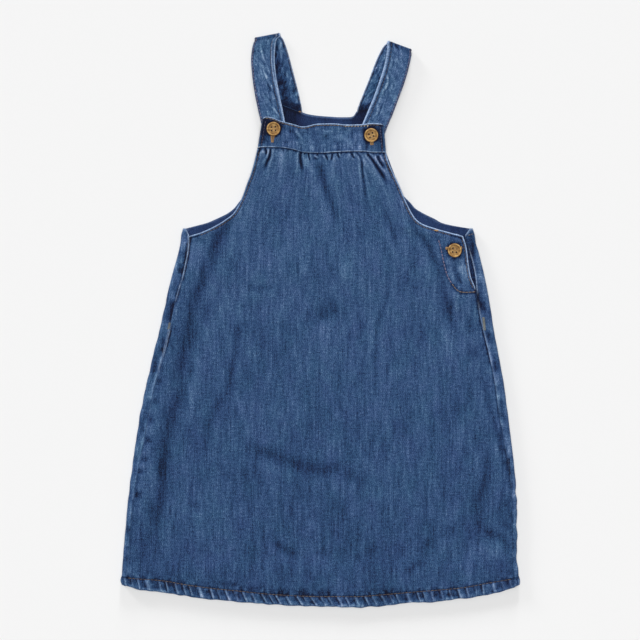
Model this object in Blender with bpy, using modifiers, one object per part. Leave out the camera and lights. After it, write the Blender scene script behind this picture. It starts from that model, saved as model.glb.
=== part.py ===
"""Child's denim pinafore dress, laid flat on its back with its front up.

The origin is on the surface that the dress lies on, under the middle of its outline. +X runs to
the right as one looks down on the front, +Y runs from the hem to the straps and +Z is up. Tables
and sizes are in millimetres, and a mesh is scaled to metres when it is made.

Each piece of cloth is one open sheet, the outer face of the cloth, and Solidify gives it its wall
on the inner side.
"""

from collections import namedtuple
from math import cos, exp, pi, sin

import bmesh
import bpy
from mathutils import Matrix, Vector

MM = 0.001
MERGE = 0.02

# Walls and gaps
DENIM = 1.2
HEM = 2.0
FACING = 1.0
BAND = 2.2
STRAP = 2.0
STAND = 1.6
GAP = 0.3
SEAM_GAP = 0.45

# Heights of the layers above the surface
SIDE_TOP = 5.6
FACING_TOP = DENIM + GAP + FACING
STRAP_TOP = FACING_TOP + GAP + STRAP
STAND_TOP = 5.0
BAND_ON_STRAP = STRAP_TOP + GAP
BAND_BETWEEN = 3.5
STRAP_LOOP = 5.4

# Heights up the dress
HEM_SIDE = -264.4
HEM_FOLD = -253.0
UNDERARM_FRONT = 84.2
UNDERARM_BACK = 91.7
FACING_FOOT = 58.0
HEM_DROP = 23.0
HEM_HALF = 200.0
HEM_STEP = 6.0
BACK_HEM_SHORTER = 0.8
BACK_CORNER_DROP = 6.5
CORNER_REACH = 26.0
FACING_INSET = 0.8

# The button stand of the side opening
STAND_FOOT = 33.0
STAND_HEAD = 82.6
STAND_WIDTH = 20.0
STAND_TUCK = 0.6

# The straps under the band, as places across it
STRAP_PLACES = (-46.7, 50.9)
STRAP_HALF = 19.0
BAND_FALL = 12.0

# Buttons: rings from the top of the axis down the outer side to the foot, and four holes
Ring = namedtuple("Ring", "radius height")
BUTTON_RINGS = [
    Ring(0.0, 2.2),
    Ring(4.2, 2.2),
    Ring(4.7, 2.5),
    Ring(5.4, 2.9),
    Ring(5.9, 3.0),
    Ring(6.6, 2.5),
    Ring(7.0, 1.7),
    Ring(6.0, 0.0),
    Ring(0.0, 0.0),
]
BUTTON_FOOT = 6.0
HOLE_RADIUS = 0.8
HOLE_SPACING = 2.6
HOLE_LENGTH = 6.0
BUTTON_STEPS = 28
HOLE_STEPS = 10
BUTTONS_ON_BAND = {"button_left": (-46.7, 191.1), "button_right": (50.9, 184.7)}
SIDE_BUTTON = (134.2, 69.7)

# The sides from the hem to the underarm. The back comes round from each fold to its seam edge, and
# the front begins there. At the side opening the front's edge lies left of the back's.
Side = namedtuple("Side", "up left_fold left_seam right_front right_back right_fold")
SIDES = [
    Side(-264.4, -199.8, -195.0, 194.7, 195.2, 199.8),
    Side(-256.0, -198.4, -193.8, 193.5, 194.0, 198.4),
    Side(-238.0, -197.4, -192.7, 191.6, 192.1, 196.6),
    Side(-210.0, -195.0, -190.3, 191.4, 191.9, 196.6),
    Side(-180.0, -192.4, -187.4, 191.1, 191.6, 196.4),
    Side(-150.0, -188.7, -182.8, 188.6, 189.1, 194.4),
    Side(-120.0, -184.5, -176.5, 183.4, 183.9, 191.0),
    Side(-90.0, -179.7, -171.3, 178.0, 178.5, 187.3),
    Side(-60.0, -173.2, -164.8, 173.8, 174.3, 183.2),
    Side(-30.0, -166.2, -156.2, 167.5, 168.0, 177.6),
    Side(-5.0, -159.8, -150.2, 161.3, 161.8, 172.9),
    Side(15.0, -155.3, -146.4, 157.3, 157.8, 169.9),
    Side(32.0, -151.6, -142.1, 155.0, 156.0, 166.8),
    Side(44.0, -148.5, -138.2, 150.4, 154.9, 164.3),
    Side(57.0, -144.9, -135.4, 148.1, 152.4, 161.2),
    Side(68.0, -141.8, -133.2, 146.8, 149.3, 158.4),
    Side(77.2, -139.8, -132.4, 145.0, 147.4, 155.5),
    Side(84.2, -139.2, -131.7, 142.5, 145.6, 154.6),
    Side(91.7, -137.2, -131.2, 141.2, 144.8, 152.4),
]

# The edges of the front from the underarm up to the band
Edge = namedtuple("Edge", "up left right")
FRONT_ARMHOLES = [
    Edge(84.2, -130.9, 142.5),
    Edge(87.6, -119.6, 129.5),
    Edge(92.2, -109.3, 113.5),
    Edge(96.2, -101.7, 102.3),
    Edge(101.2, -94.0, 95.6),
    Edge(106.5, -87.3, 91.9),
    Edge(115.2, -81.8, 87.3),
    Edge(124.2, -77.5, 83.3),
    Edge(136.2, -73.3, 78.3),
    Edge(147.2, -69.2, 73.0),
    Edge(158.2, -65.4, 68.2),
    Edge(168.0, -62.8, 65.7),
]

# The edges of the back from the underarm up to the neck
BACK_ARMHOLES = [
    Edge(91.7, -134.4, 149.6),
    Edge(94.2, -124.7, 134.2),
    Edge(97.2, -113.3, 121.5),
    Edge(100.7, -104.7, 115.2),
    Edge(106.2, -93.6, 104.3),
    Edge(111.2, -86.7, 96.2),
    Edge(115.7, -82.0, 90.7),
    Edge(125.2, -73.8, 81.2),
    Edge(138.2, -69.3, 75.7),
    Edge(152.2, -64.3, 69.7),
    Edge(166.2, -59.3, 64.2),
    Edge(180.2, -54.5, 61.8),
    Edge(192.0, -51.0, 63.2),
    Edge(206.0, -48.2, 66.0),
]

# The neck edge of the back, which takes the ends of the straps
Neck = namedtuple("Neck", "across up")
BACK_NECK = [
    Neck(-48.2, 220.0),
    Neck(-18.8, 208.2),
    Neck(-11.6, 205.9),
    Neck(-1.3, 204.4),
    Neck(9.7, 203.6),
    Neck(19.7, 203.2),
    Neck(29.7, 204.4),
    Neck(36.0, 208.4),
    Neck(66.0, 215.8),
]

# The bib band, a column across it at a time
Column = namedtuple("Column", "along top_across top_up foot_across foot_up")
BAND_COLUMNS = [
    Column(0.0, -57.8, 201.7, -62.5, 172.6),
    Column(0.1, -49.9, 203.0, -52.3, 173.0),
    Column(0.2, -39.7, 199.2, -38.7, 172.5),
    Column(0.3, -28.3, 196.2, -27.3, 170.7),
    Column(0.4, -16.8, 193.6, -15.3, 167.7),
    Column(0.5, -2.3, 196.4, -0.3, 167.2),
    Column(0.6, 12.7, 196.7, 16.7, 168.2),
    Column(0.7, 27.7, 195.4, 31.7, 168.7),
    Column(0.8, 39.7, 195.3, 42.7, 168.7),
    Column(0.9, 51.7, 196.7, 53.7, 167.6),
    Column(1.0, 63.2, 195.9, 65.7, 167.6),
]

# How the front lies: its height in the middle and at each edge, and how far in from the edges it
# stays high and then falls
Lie = namedtuple("Lie", "up middle left right left_flat left_fall right_flat right_fall")
FRONT_LIE = [
    Lie(-290.0, 4.6, 5.6, 5.6, 3.0, 26.0, 3.0, 16.0),
    Lie(-253.0, 4.6, 5.6, 5.6, 3.0, 26.0, 3.0, 16.0),
    Lie(-235.0, 3.4, 5.6, 5.6, 5.0, 30.0, 4.0, 18.0),
    Lie(-150.0, 3.2, 5.6, 5.6, 9.0, 24.0, 4.0, 16.0),
    Lie(-60.0, 3.2, 5.6, 5.6, 8.0, 20.0, 5.0, 18.0),
    Lie(0.0, 3.2, 5.6, 6.0, 8.0, 20.0, 8.0, 22.0),
    Lie(28.0, 3.8, 5.6, 6.9, 8.0, 20.0, 20.0, 20.0),
    Lie(52.0, 4.6, 5.6, 6.9, 8.0, 22.0, 22.0, 20.0),
    Lie(84.0, 4.6, 5.4, 6.8, 8.0, 26.0, 26.0, 24.0),
    Lie(92.0, 4.6, 5.0, 6.0, 4.0, 26.0, 16.0, 24.0),
    Lie(102.0, 4.6, 4.8, 4.8, 3.0, 18.0, 3.0, 18.0),
    Lie(140.0, 5.0, 4.8, 4.8, 3.0, 14.0, 3.0, 14.0),
    Lie(175.0, 5.4, 5.0, 5.0, 3.0, 14.0, 3.0, 14.0),
]
BAND_LIFT = 26.0

# The largest folds of the front. Each runs down from its head, where it is full, to its foot,
# where it has faded. A trough has a negative height.
Fold = namedtuple("Fold", "head_across head_up foot_across foot_up half_width height")
GATHERS = [
    Fold(-50.0, 173.0, -59.0, 152.0, 3.6, -0.9),
    Fold(-35.0, 173.0, -40.0, 140.0, 5.0, 0.7),
    Fold(-19.5, 169.0, -22.5, 138.0, 4.0, -1.1),
    Fold(-11.5, 168.0, -12.0, 150.0, 3.4, -0.6),
    Fold(-3.0, 167.5, -6.0, 130.0, 4.5, 0.7),
    Fold(6.0, 168.0, 4.0, 105.0, 5.0, -1.1),
    Fold(19.0, 168.5, 22.0, 150.0, 3.4, -0.7),
    Fold(32.0, 169.0, 46.0, 132.0, 4.0, -1.0),
    Fold(48.0, 168.0, 68.0, 128.0, 4.0, -1.1),
]
CREASES = [
    Fold(-82.0, -119.0, 42.0, -163.0, 13.0, -0.8),
    Fold(0.0, 12.0, 26.0, -2.0, 14.0, -0.5),
    Fold(98.0, 104.0, 156.0, -46.0, 9.0, -0.5),
    Fold(-68.0, 20.0, -92.0, -80.0, 14.0, 0.5),
]

# The straps: the front run from its end under the band up to the fold, the fold's line, and the
# back run from the fold down to the neck. Each row is a line across the strap.
Across = namedtuple("Across", "left_across left_up right_across right_up top")
STRAP_LEFT_FRONT = [
    Across(-55.1, 175.4, -32.3, 180.7, STRAP_TOP),
    Across(-58.8, 195.2, -35.4, 199.4, STRAP_TOP),
    Across(-61.6, 208.2, -37.9, 211.6, STRAP_TOP),
    Across(-65.1, 225.2, -41.3, 228.2, STRAP_TOP),
    Across(-67.9, 245.2, -44.5, 246.4, 5.0),
    Across(-69.0, 260.2, -45.6, 260.6, 5.2),
    Across(-68.1, 270.2, -45.2, 272.2, STRAP_LOOP),
    Across(-66.4, 276.8, -43.4, 281.2, STRAP_LOOP),
]
STRAP_LEFT_FOLD = Across(-64.3, 282.7, -40.3, 287.5, STRAP_LOOP)
STRAP_LEFT_BACK = [
    Across(-61.0, 275.0, -37.6, 281.6, 0.0),
    Across(-56.4, 265.0, -33.1, 270.2, 0.0),
    Across(-52.3, 249.6, -29.0, 255.2, 0.0),
    Across(-48.6, 236.0, -25.2, 240.9, 0.0),
    Across(-46.5, 228.0, -21.7, 227.0, 0.0),
    Across(-44.4, 219.6, -17.9, 209.0, 0.0),
]
STRAP_RIGHT_FRONT = [
    Across(37.4, 181.2, 60.2, 173.6, STRAP_TOP),
    Across(42.4, 197.2, 66.2, 191.2, STRAP_TOP),
    Across(47.9, 210.0, 71.9, 205.2, STRAP_TOP),
    Across(54.0, 225.0, 77.9, 221.2, STRAP_TOP),
    Across(59.2, 239.6, 83.3, 235.7, 5.0),
    Across(63.4, 252.8, 87.5, 249.7, 5.2),
    Across(66.2, 266.0, 90.2, 261.4, STRAP_LOOP),
    Across(67.2, 274.4, 91.0, 266.4, STRAP_LOOP),
]
STRAP_RIGHT_FOLD = Across(67.4, 279.8, 91.2, 271.0, STRAP_LOOP)
STRAP_RIGHT_BACK = [
    Across(63.8, 274.4, 86.6, 265.6, 0.0),
    Across(59.0, 266.2, 81.2, 256.8, 0.0),
    Across(54.2, 255.2, 76.4, 246.0, 0.0),
    Across(48.6, 240.2, 71.0, 232.6, 0.0),
    Across(42.5, 225.2, 66.6, 222.0, 0.0),
    Across(36.4, 209.4, 64.4, 216.2, 0.0),
]

# How finely the cloth is divided
FRONT_COLUMNS = 32
FLOOR_COLUMNS = 12
ROLL_COLUMNS = 5
STRIP_COLUMNS = 2
STRAP_COLUMNS = 3
LOOP_ROWS = 5
BODY_ROWS = [-264.4, -259.0, -253.0, -244.0, -225.0, -200.0, -178.0, -158.0, -140.0, -120.0, -98.0,
             -76.0, -54.0, -32.0, -10.0, 12.0, STAND_FOOT, 44.0, 57.0, 70.0]

# Colours, as linear light
DENIM_BLUE = (0.042, 0.085, 0.185)
NAVY = (0.017, 0.032, 0.085)
BUTTON_TAN = (0.45, 0.24, 0.10)


def smooth(share):
    """An even rise from 0 to 1 as share goes from 0 to 1, level at both ends."""
    share = min(1.0, max(0.0, share))
    return share * share * (3.0 - 2.0 * share)


def read(rows, column, at):
    """A column's value at a place, on a smooth curve through the rows that doesn't overshoot."""
    keys = [row[0] for row in rows]
    values = [getattr(row, column) for row in rows]
    last = len(rows) - 1
    first = max(k for k in range(last) if k == 0 or keys[k] <= at)
    secants = [(values[k + 1] - values[k]) / (keys[k + 1] - keys[k]) for k in range(last)]

    def slope(k):
        before, after = secants[max(0, k - 1)], secants[min(last - 1, k)]
        return 0.0 if before * after <= 0.0 else 2.0 * before * after / (before + after)

    span = keys[first + 1] - keys[first]
    t = min(1.0, max(0.0, (at - keys[first]) / span))
    rise = values[first + 1] - values[first]
    start, end = slope(first) * span, slope(first + 1) * span
    bend = (3.0 * rise - 2.0 * start - end) * t * t + (start + end - 2.0 * rise) * t ** 3
    return values[first] + start * t + bend


def hem_drop(up):
    """How far a row hangs down in its middle: most at the hem, nothing at the underarm."""
    share = (UNDERARM_FRONT - up) / (UNDERARM_FRONT - HEM_SIDE)
    return HEM_DROP * max(0.0, share) ** 1.5


def arch(across_share):
    """The shape of a hanging row: nothing at its two ends and one in its middle."""
    return 1.0 - (2.0 * across_share - 1.0) ** 2


def drop_at(across):
    """How far the hem hangs below its ends at a place across it."""
    return HEM_DROP * arch((across / HEM_HALF + 1.0) / 2.0)


def wall_share(up):
    """The wall at a height, as a share of the turned-up hem's."""
    plain = DENIM / HEM
    return plain + (1.0 - plain) * smooth((HEM_FOLD - up) / HEM_STEP + 0.5)


def fold_height(fold, across, up):
    """The height that one fold adds at a point."""
    run = Vector((fold.foot_across - fold.head_across, fold.foot_up - fold.head_up))
    offset = Vector((across - fold.head_across, up - fold.head_up))
    share = offset.dot(run) / run.length_squared
    aside = abs(offset.cross(run)) / run.length
    return fold.height * exp(-(aside / fold.half_width) ** 2) * (1.0 - smooth(share))


def crease_height(crease, across, up):
    """As a fold, but it fades at its head too."""
    middle = Vector((crease.head_across + crease.foot_across, crease.head_up + crease.foot_up)) / 2
    run = Vector((crease.foot_across, crease.foot_up)) - middle
    offset = Vector((across, up)) - middle
    along = offset.dot(run) / run.length_squared
    aside = abs(offset.cross(run)) / run.length
    return crease.height * exp(-(aside / crease.half_width) ** 2) * (1.0 - smooth(abs(along)))


def band_underside(across):
    """The band lies over the two straps and sinks between and beside them."""
    near = min(abs(across - place) for place in STRAP_PLACES)
    high = 1.0 - smooth((near - STRAP_HALF) / BAND_FALL)
    return BAND_BETWEEN + (BAND_ON_STRAP - BAND_BETWEEN) * high


def band_foot(across):
    """The height up the dress of the band's lower edge."""
    by_place = [Neck(column.foot_across, column.foot_up) for column in BAND_COLUMNS]
    return read(by_place, "up", across)


def front_height(across, up, left, right):
    """The height of the front's outer face above the surface."""
    lie = {name: read(FRONT_LIE, name, up) for name in Lie._fields[1:]}
    from_left = smooth((across - left - lie["left_flat"]) / lie["left_fall"])
    from_right = smooth((right - across - lie["right_flat"]) / lie["right_fall"])
    height = lie["middle"]
    height += (lie["left"] - lie["middle"]) * (1.0 - from_left)
    height += (lie["right"] - lie["middle"]) * (1.0 - from_right)
    seam = band_underside(across) + (BAND + DENIM) / 2
    lift = smooth(1.0 - (band_foot(across) - up) / BAND_LIFT)
    height += (seam - height) * lift
    height += sum(fold_height(fold, across, up) for fold in GATHERS)
    return height + sum(crease_height(crease, across, up) for crease in CREASES)


def front_edges(up):
    """The left and right edges of the front at a height up the dress."""
    if up < UNDERARM_FRONT:
        return read(SIDES, "left_seam", up) + SEAM_GAP, read(SIDES, "right_front", up)
    return read(FRONT_ARMHOLES, "left", up), read(FRONT_ARMHOLES, "right", up)


def front_point(across_share, up):
    """A point of the front's outer face, on the row that starts at a height up the side."""
    left, right = front_edges(up)
    across = left + (right - left) * across_share
    level = up - hem_drop(up) * arch(across_share)
    to_band = smooth((up - UNDERARM_FRONT) / (FRONT_ARMHOLES[-1].up - UNDERARM_FRONT))
    level += (band_foot(across) - SEAM_GAP - FRONT_ARMHOLES[-1].up) * to_band
    return Vector((across, level, front_height(across, level, left, right)))


def sheet(columns, rows, place):
    """A grid whose corners are placed by their column and row numbers."""
    mesh = bmesh.new()
    bmesh.ops.create_grid(mesh, x_segments=columns, y_segments=rows, size=0.5)
    for corner in mesh.verts:
        column = round((corner.co.x + 0.5) * columns)
        row = round((corner.co.y + 0.5) * rows)
        corner.co = place(column, row)
    return mesh


def joined(sheets):
    """Sheets made one, along the edges that they share."""
    whole = bmesh.new()
    for piece in sheets:
        part = bpy.data.meshes.new("part")
        piece.to_mesh(part)
        piece.free()
        whole.from_mesh(part)
        bpy.data.meshes.remove(part)
    bmesh.ops.remove_doubles(whole, verts=whole.verts, dist=MERGE)
    return whole


def material(name, colour, roughness):
    """A plain surface in one colour."""
    made = bpy.data.materials.new(name)
    made.use_nodes = True
    surface = made.node_tree.nodes["Principled BSDF"]
    surface.inputs["Base Color"].default_value = (*colour, 1.0)
    surface.inputs["Roughness"].default_value = roughness
    surface.inputs["Metallic"].default_value = 0.0
    return made


def add_object(name, mesh, collection, finish):
    """A named object from a bmesh in millimetres."""
    bmesh.ops.scale(mesh, vec=(MM, MM, MM), verts=mesh.verts)
    data = bpy.data.meshes.new(name)
    mesh.to_mesh(data)
    mesh.free()
    data.materials.append(finish)
    data.shade_smooth()
    made = bpy.data.objects.new(name, data)
    collection.objects.link(made)
    return made


def add_cloth(name, mesh, wall, collection, finish, outward, share=None):
    """A sheet with its wall on the inner side. The first face's normal points along outward."""
    mesh.normal_update()
    mesh.faces.ensure_lookup_table()
    if mesh.faces[0].normal.dot(outward) < 0.0:
        bmesh.ops.reverse_faces(mesh, faces=mesh.faces)
    shares = [share(corner.co) for corner in mesh.verts] if share else []
    made = add_object(name, mesh, collection, finish)
    solid = made.modifiers.new("wall", "SOLIDIFY")
    solid.thickness = wall * MM
    solid.offset = -1.0
    solid.use_quality_normals = True
    if shares:
        group = made.vertex_groups.new(name="wall")
        for index, value in enumerate(shares):
            group.add([index], value, "REPLACE")
        solid.vertex_group = group.name
        solid.thickness_vertex_group = 0.0
    return made


def front_panel(collection, finish):
    rows = BODY_ROWS + [edge.up for edge in FRONT_ARMHOLES]

    def place(column, row):
        return front_point(column / FRONT_COLUMNS, rows[row])

    def share(corner):
        return wall_share(corner.y + drop_at(corner.x))

    mesh = sheet(FRONT_COLUMNS, len(rows) - 1, place)
    add_cloth("front_panel", mesh, HEM, collection, finish, Vector((0, 0, 1)), share)


def back_edges(up):
    """The ends of the flat part of the back at a height up the dress."""
    if up <= UNDERARM_BACK:
        radius = SIDE_TOP / 2
        return read(SIDES, "left_fold", up) + radius, read(SIDES, "right_fold", up) - radius
    return read(BACK_ARMHOLES, "left", up), read(BACK_ARMHOLES, "right", up)


def back_level(across_share, across, up, inset):
    """The height up the dress of a point on the back's row that starts at a height up the side."""
    shorter = BACK_HEM_SHORTER * arch(across_share) * (1.0 if up < HEM_FOLD else 0.0)
    level = up - hem_drop(up) * arch(across_share) + shorter
    yoke = BACK_ARMHOLES[-1].up - UNDERARM_BACK
    to_neck = smooth((up - UNDERARM_BACK) / yoke)
    neck = read(BACK_NECK, "up", across) - inset
    return level + (neck - BACK_ARMHOLES[-1].up) * to_neck


def floor_sheet(rows, inset, height):
    """The flat part of the back, or what lies flat on it."""
    def place(column, row):
        share = column / FLOOR_COLUMNS
        left, right = back_edges(rows[row])
        across = left + inset + (right - left - 2 * inset) * share
        return Vector((across, back_level(share, across, rows[row], inset), height))

    return sheet(FLOOR_COLUMNS, len(rows) - 1, place)


def corner_drop(up):
    """How far the back's seam edge hangs below its fold, near the top of the sides."""
    return BACK_CORNER_DROP * smooth(1.0 - (UNDERARM_BACK - up) / CORNER_REACH)


def side_sheet(rows, fold, seam, inward):
    """The back's roll round one side and its strip up to the seam edge."""
    radius = SIDE_TOP / 2

    def place(column, row):
        up = rows[row]
        start = read(SIDES, fold, up) + inward * radius
        turn = min(1.0, column / ROLL_COLUMNS) * pi
        along = max(0, column - ROLL_COLUMNS) / STRIP_COLUMNS
        across = start - inward * radius * sin(turn) + (read(SIDES, seam, up) - start) * along
        return Vector((across, up - corner_drop(up) * along, radius * (1.0 - cos(turn))))

    return sheet(ROLL_COLUMNS + STRIP_COLUMNS, len(rows) - 1, place)


def back_panel(collection, finish):
    side_rows = BODY_ROWS + [UNDERARM_FRONT, UNDERARM_BACK]
    all_rows = side_rows + [edge.up for edge in BACK_ARMHOLES[1:]]
    left = side_sheet(side_rows, "left_fold", "left_seam", 1.0)
    right = side_sheet(side_rows, "right_fold", "right_back", -1.0)
    bmesh.ops.reverse_faces(left, faces=left.faces)

    def share(corner):
        on_floor = corner.z < MERGE
        return wall_share(corner.y + (drop_at(corner.x) if on_floor else 0.0))

    mesh = joined([floor_sheet(all_rows, 0.0, 0.0), left, right])
    bmesh.ops.recalc_face_normals(mesh, faces=mesh.faces)
    add_cloth("back_panel", mesh, HEM, collection, finish, Vector((0, 0, -1)), share)


def back_facing(collection, finish):
    rows = [FACING_FOOT, 70.0, UNDERARM_FRONT] + [edge.up for edge in BACK_ARMHOLES]
    mesh = floor_sheet(rows, FACING_INSET, FACING_TOP)
    add_cloth("back_facing", mesh, FACING, collection, finish, Vector((0, 0, 1)))


def front_band(collection, finish):
    columns, rows = 16, 2

    def place(column, row):
        along = column / columns
        top = Vector((read(BAND_COLUMNS, "top_across", along), read(BAND_COLUMNS, "top_up", along)))
        foot = Vector((read(BAND_COLUMNS, "foot_across", along),
                       read(BAND_COLUMNS, "foot_up", along)))
        point = foot.lerp(top, row / rows)
        return Vector((point.x, point.y, band_underside(point.x) + BAND))

    mesh = sheet(columns, rows, place)
    add_cloth("front_band", mesh, BAND, collection, finish, Vector((0, 0, 1)))


def loop_rows(fold):
    """Rows round the strap's fold, from the front run's face to the back run's."""
    radius = fold.top / 2
    left = Vector((fold.left_across, fold.left_up, 0.0))
    right = Vector((fold.right_across, fold.right_up, 0.0))
    away = Vector((0, 0, 1)).cross(right - left).normalized()
    for step in range(LOOP_ROWS + 1):
        turn = pi * step / LOOP_ROWS
        shift = away * radius * (sin(turn) - 1.0) + Vector((0, 0, radius * (1.0 + cos(turn))))
        yield left + shift, right + shift


def strap(name, front, fold, back, collection, finish):
    """A doubled strip: up the front run, over the fold and down the back run to the neck."""
    def ends(row):
        return (Vector((row.left_across, row.left_up, row.top)),
                Vector((row.right_across, row.right_up, row.top)))

    rows = [ends(row) for row in front] + list(loop_rows(fold)) + [ends(row) for row in back]

    def place(column, row):
        return rows[row][0].lerp(rows[row][1], column / STRAP_COLUMNS)

    mesh = sheet(STRAP_COLUMNS, len(rows) - 1, place)
    add_cloth(name, mesh, STRAP, collection, finish, Vector((0, 0, 1)))


def side_underlap(collection, finish):
    """The button stand runs beside the back's seam edge and under the front."""
    columns = 4
    rows = [up for up in BODY_ROWS if up >= STAND_FOOT] + [UNDERARM_FRONT, UNDERARM_BACK]

    def place(column, row):
        up = rows[row]
        edge = read(SIDES, "right_back", up) - SEAM_GAP
        inner = 1.0 - column / columns
        level = min(up - corner_drop(up), STAND_HEAD)
        return Vector((edge - STAND_WIDTH * inner, level, STAND_TOP - STAND_TUCK * inner))

    mesh = sheet(columns, len(rows) - 1, place)
    add_cloth("side_underlap", mesh, STAND, collection, finish, Vector((0, 0, 1)))


def hole_cutter(name, place, cutters):
    """Four pins that cut the button's holes."""
    mesh = bmesh.new()
    for quarter in range(4):
        angle = pi / 4 + pi / 2 * quarter
        spread = HOLE_SPACING / 2 ** 0.5
        middle = Vector((spread * cos(angle), spread * sin(angle), 0.0))
        bmesh.ops.create_cone(mesh, cap_ends=True, segments=HOLE_STEPS, radius1=HOLE_RADIUS,
                              radius2=HOLE_RADIUS, depth=HOLE_LENGTH,
                              matrix=Matrix.Translation(middle))
    bmesh.ops.scale(mesh, vec=(MM, MM, MM), verts=mesh.verts)
    data = bpy.data.meshes.new(name)
    mesh.to_mesh(data)
    mesh.free()
    cutter = bpy.data.objects.new(name, data)
    cutter.location = place
    cutter.hide_render = True
    cutter.display_type = "WIRE"
    cutters.objects.link(cutter)
    return cutter


def button(name, place, collection, cutters, finish):
    """A turned four-hole button that stands on its underside at a place."""
    mesh = bmesh.new()
    corners = [mesh.verts.new((ring.radius, 0.0, ring.height)) for ring in BUTTON_RINGS]
    for first, second in zip(corners, corners[1:]):
        mesh.edges.new((first, second))
    made = add_object(name, mesh, collection, finish)
    made.location = place
    turn = made.modifiers.new("turning", "SCREW")
    turn.steps = BUTTON_STEPS
    turn.render_steps = BUTTON_STEPS
    turn.use_merge_vertices = True
    turn.merge_threshold = 0.00001
    drill = made.modifiers.new("holes", "BOOLEAN")
    drill.operation = "DIFFERENCE"
    drill.solver = "EXACT"
    drill.object = hole_cutter(f"{name}_holes", place, cutters)


def highest_round(place, radius):
    """The highest that the front lies in and on a circle round a place."""
    left, right = front_edges(place[1])
    turns = [pi / 4 * eighth for eighth in range(8)]
    ring = [(place[0] + radius * cos(turn), place[1] + radius * sin(turn)) for turn in turns]
    return max(front_height(across, up, left, right) for across, up in ring + [place])


def buttons(collection, cutters, finish):
    for name, (across, up) in BUTTONS_ON_BAND.items():
        seat = BAND_ON_STRAP + BAND + GAP
        button(name, Vector((across, up, seat)) * MM, collection, cutters, finish)
    seat = highest_round(SIDE_BUTTON, BUTTON_FOOT) + GAP
    place = Vector((*SIDE_BUTTON, seat)) * MM
    button("button_side", place, collection, cutters, finish)


def main():
    for old in list(bpy.data.objects):
        bpy.data.objects.remove(old, do_unlink=True)
    parts = bpy.data.collections.new("pinafore_dress")
    cutters = bpy.data.collections.new("cutters")
    bpy.context.scene.collection.children.link(parts)
    bpy.context.scene.collection.children.link(cutters)
    denim = material("washed_denim", DENIM_BLUE, 0.9)
    navy = material("navy_twill", NAVY, 0.9)
    tan = material("tan_button", BUTTON_TAN, 0.45)
    back_panel(parts, denim)
    back_facing(parts, navy)
    side_underlap(parts, denim)
    front_panel(parts, denim)
    strap("strap_left", STRAP_LEFT_FRONT, STRAP_LEFT_FOLD, STRAP_LEFT_BACK, parts, denim)
    strap("strap_right", STRAP_RIGHT_FRONT, STRAP_RIGHT_FOLD, STRAP_RIGHT_BACK, parts, denim)
    front_band(parts, denim)
    buttons(parts, cutters, tan)


main()
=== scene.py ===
"""The looks of a child's denim pinafore dress that lies on its back with its front up.

Tables and sizes are in millimetres: across runs to the right as one looks down on the front, up
runs from the hem to the straps, and heights are above the surface. A mesh is scaled to metres
when it is finished.

Every piece of cloth is a fine grid. Three numbers belong to each of its corners: its height, how
worn it is (0 for sound cloth, 1 for threads rubbed white) and its shade (below 0 where it is
darker, above 0 where it is paler). The shade holds the dye, still deep in places and washed out in
others, and also painted shade in creases, troughs, seams and grooves and under the band, the
straps and the buttons, and painted light on crests and ridges. The functions that shape the cloth
return the three together, so that what folds the cloth also colours it.
"""

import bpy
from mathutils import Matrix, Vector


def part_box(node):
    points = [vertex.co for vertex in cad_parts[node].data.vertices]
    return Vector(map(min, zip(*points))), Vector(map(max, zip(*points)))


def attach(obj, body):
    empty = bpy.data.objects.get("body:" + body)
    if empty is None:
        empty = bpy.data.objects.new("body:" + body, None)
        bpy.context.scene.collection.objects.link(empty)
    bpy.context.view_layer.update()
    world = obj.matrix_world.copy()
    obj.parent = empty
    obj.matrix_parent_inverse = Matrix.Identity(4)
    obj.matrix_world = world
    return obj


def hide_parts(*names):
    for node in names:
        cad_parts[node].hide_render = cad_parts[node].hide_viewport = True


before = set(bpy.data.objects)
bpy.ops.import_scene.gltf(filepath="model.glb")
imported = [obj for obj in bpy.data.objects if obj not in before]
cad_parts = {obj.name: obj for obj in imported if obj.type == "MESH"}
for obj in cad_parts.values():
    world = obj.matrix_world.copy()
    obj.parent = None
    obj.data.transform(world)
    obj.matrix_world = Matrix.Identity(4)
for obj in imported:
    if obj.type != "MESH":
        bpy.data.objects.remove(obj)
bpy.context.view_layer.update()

from collections import namedtuple
from math import cos, pi, radians, sin

import bmesh
import bpy
import numpy as np
from mathutils import Matrix, Vector, noise

MM = 0.001
HEIGHT, WORN, SHADE = 0, 1, 2

# Walls and gaps
DENIM = 1.2
FACING = 1
BAND = 2.2
STRAP = 2
STAND = 1.6
GAP = 0.3
SEAM_GAP = 0.25
SIDE_GAP = 0.1
CLEAR = 0.15
# The share of a wall that its rim is rounded by, and the sharpest angle that is left alone
RIM = 0.28
RIM_ANGLE = 50

# Heights of the layers above the surface
SIDE_TOP = 5.6
SIDE_RADIUS = SIDE_TOP / 2
FACING_TOP = DENIM + GAP + FACING
STRAP_TOP = FACING_TOP + GAP + STRAP
STAND_TOP = 5
BAND_ON_STRAP = STRAP_TOP + GAP
BAND_BETWEEN = 3.5

# Heights up the dress
HEM_SIDE = -264.4
UNDERARM_FRONT = 84.2
UNDERARM_BACK = 91.7
FACING_FOOT = 58
BACK_CORNER_DROP = 6.5
CORNER_REACH = 26
BACK_HEM_SHORTER = 0.8
FACING_INSET = 0.8
OPENING_FOOT = 33
STAND_HEAD = 82.6
STAND_WIDTH = 20
STAND_TUCK = 0.6
FRONT_TOP = 168

# The straps under the band, as places across it
STRAP_PLACES = (-46.7, 50.9)
STRAP_HALF = 19
BAND_FALL = 12
BAND_LIFT = 26

# Stitching: thread, stitch and gap lengths, how far in from an edge the row runs, and how much
# longer a stitch is drawn than the way it takes. The thread is really 0.5 thick and is made
# thicker, so that it shows.
THREAD = 0.8
STITCH = 2.5
STITCH_GAP = 0.8
OVERLAP = 1.08
EDGE_ROW = 2.4
# The spacing of the hem's twists
TWIST = 8.6
# How far in along a strap its stitching comes out from under the band, and its rolled edges
STRAP_SEWN_FROM = 14
STRAP_FREE_FROM = 26

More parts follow.
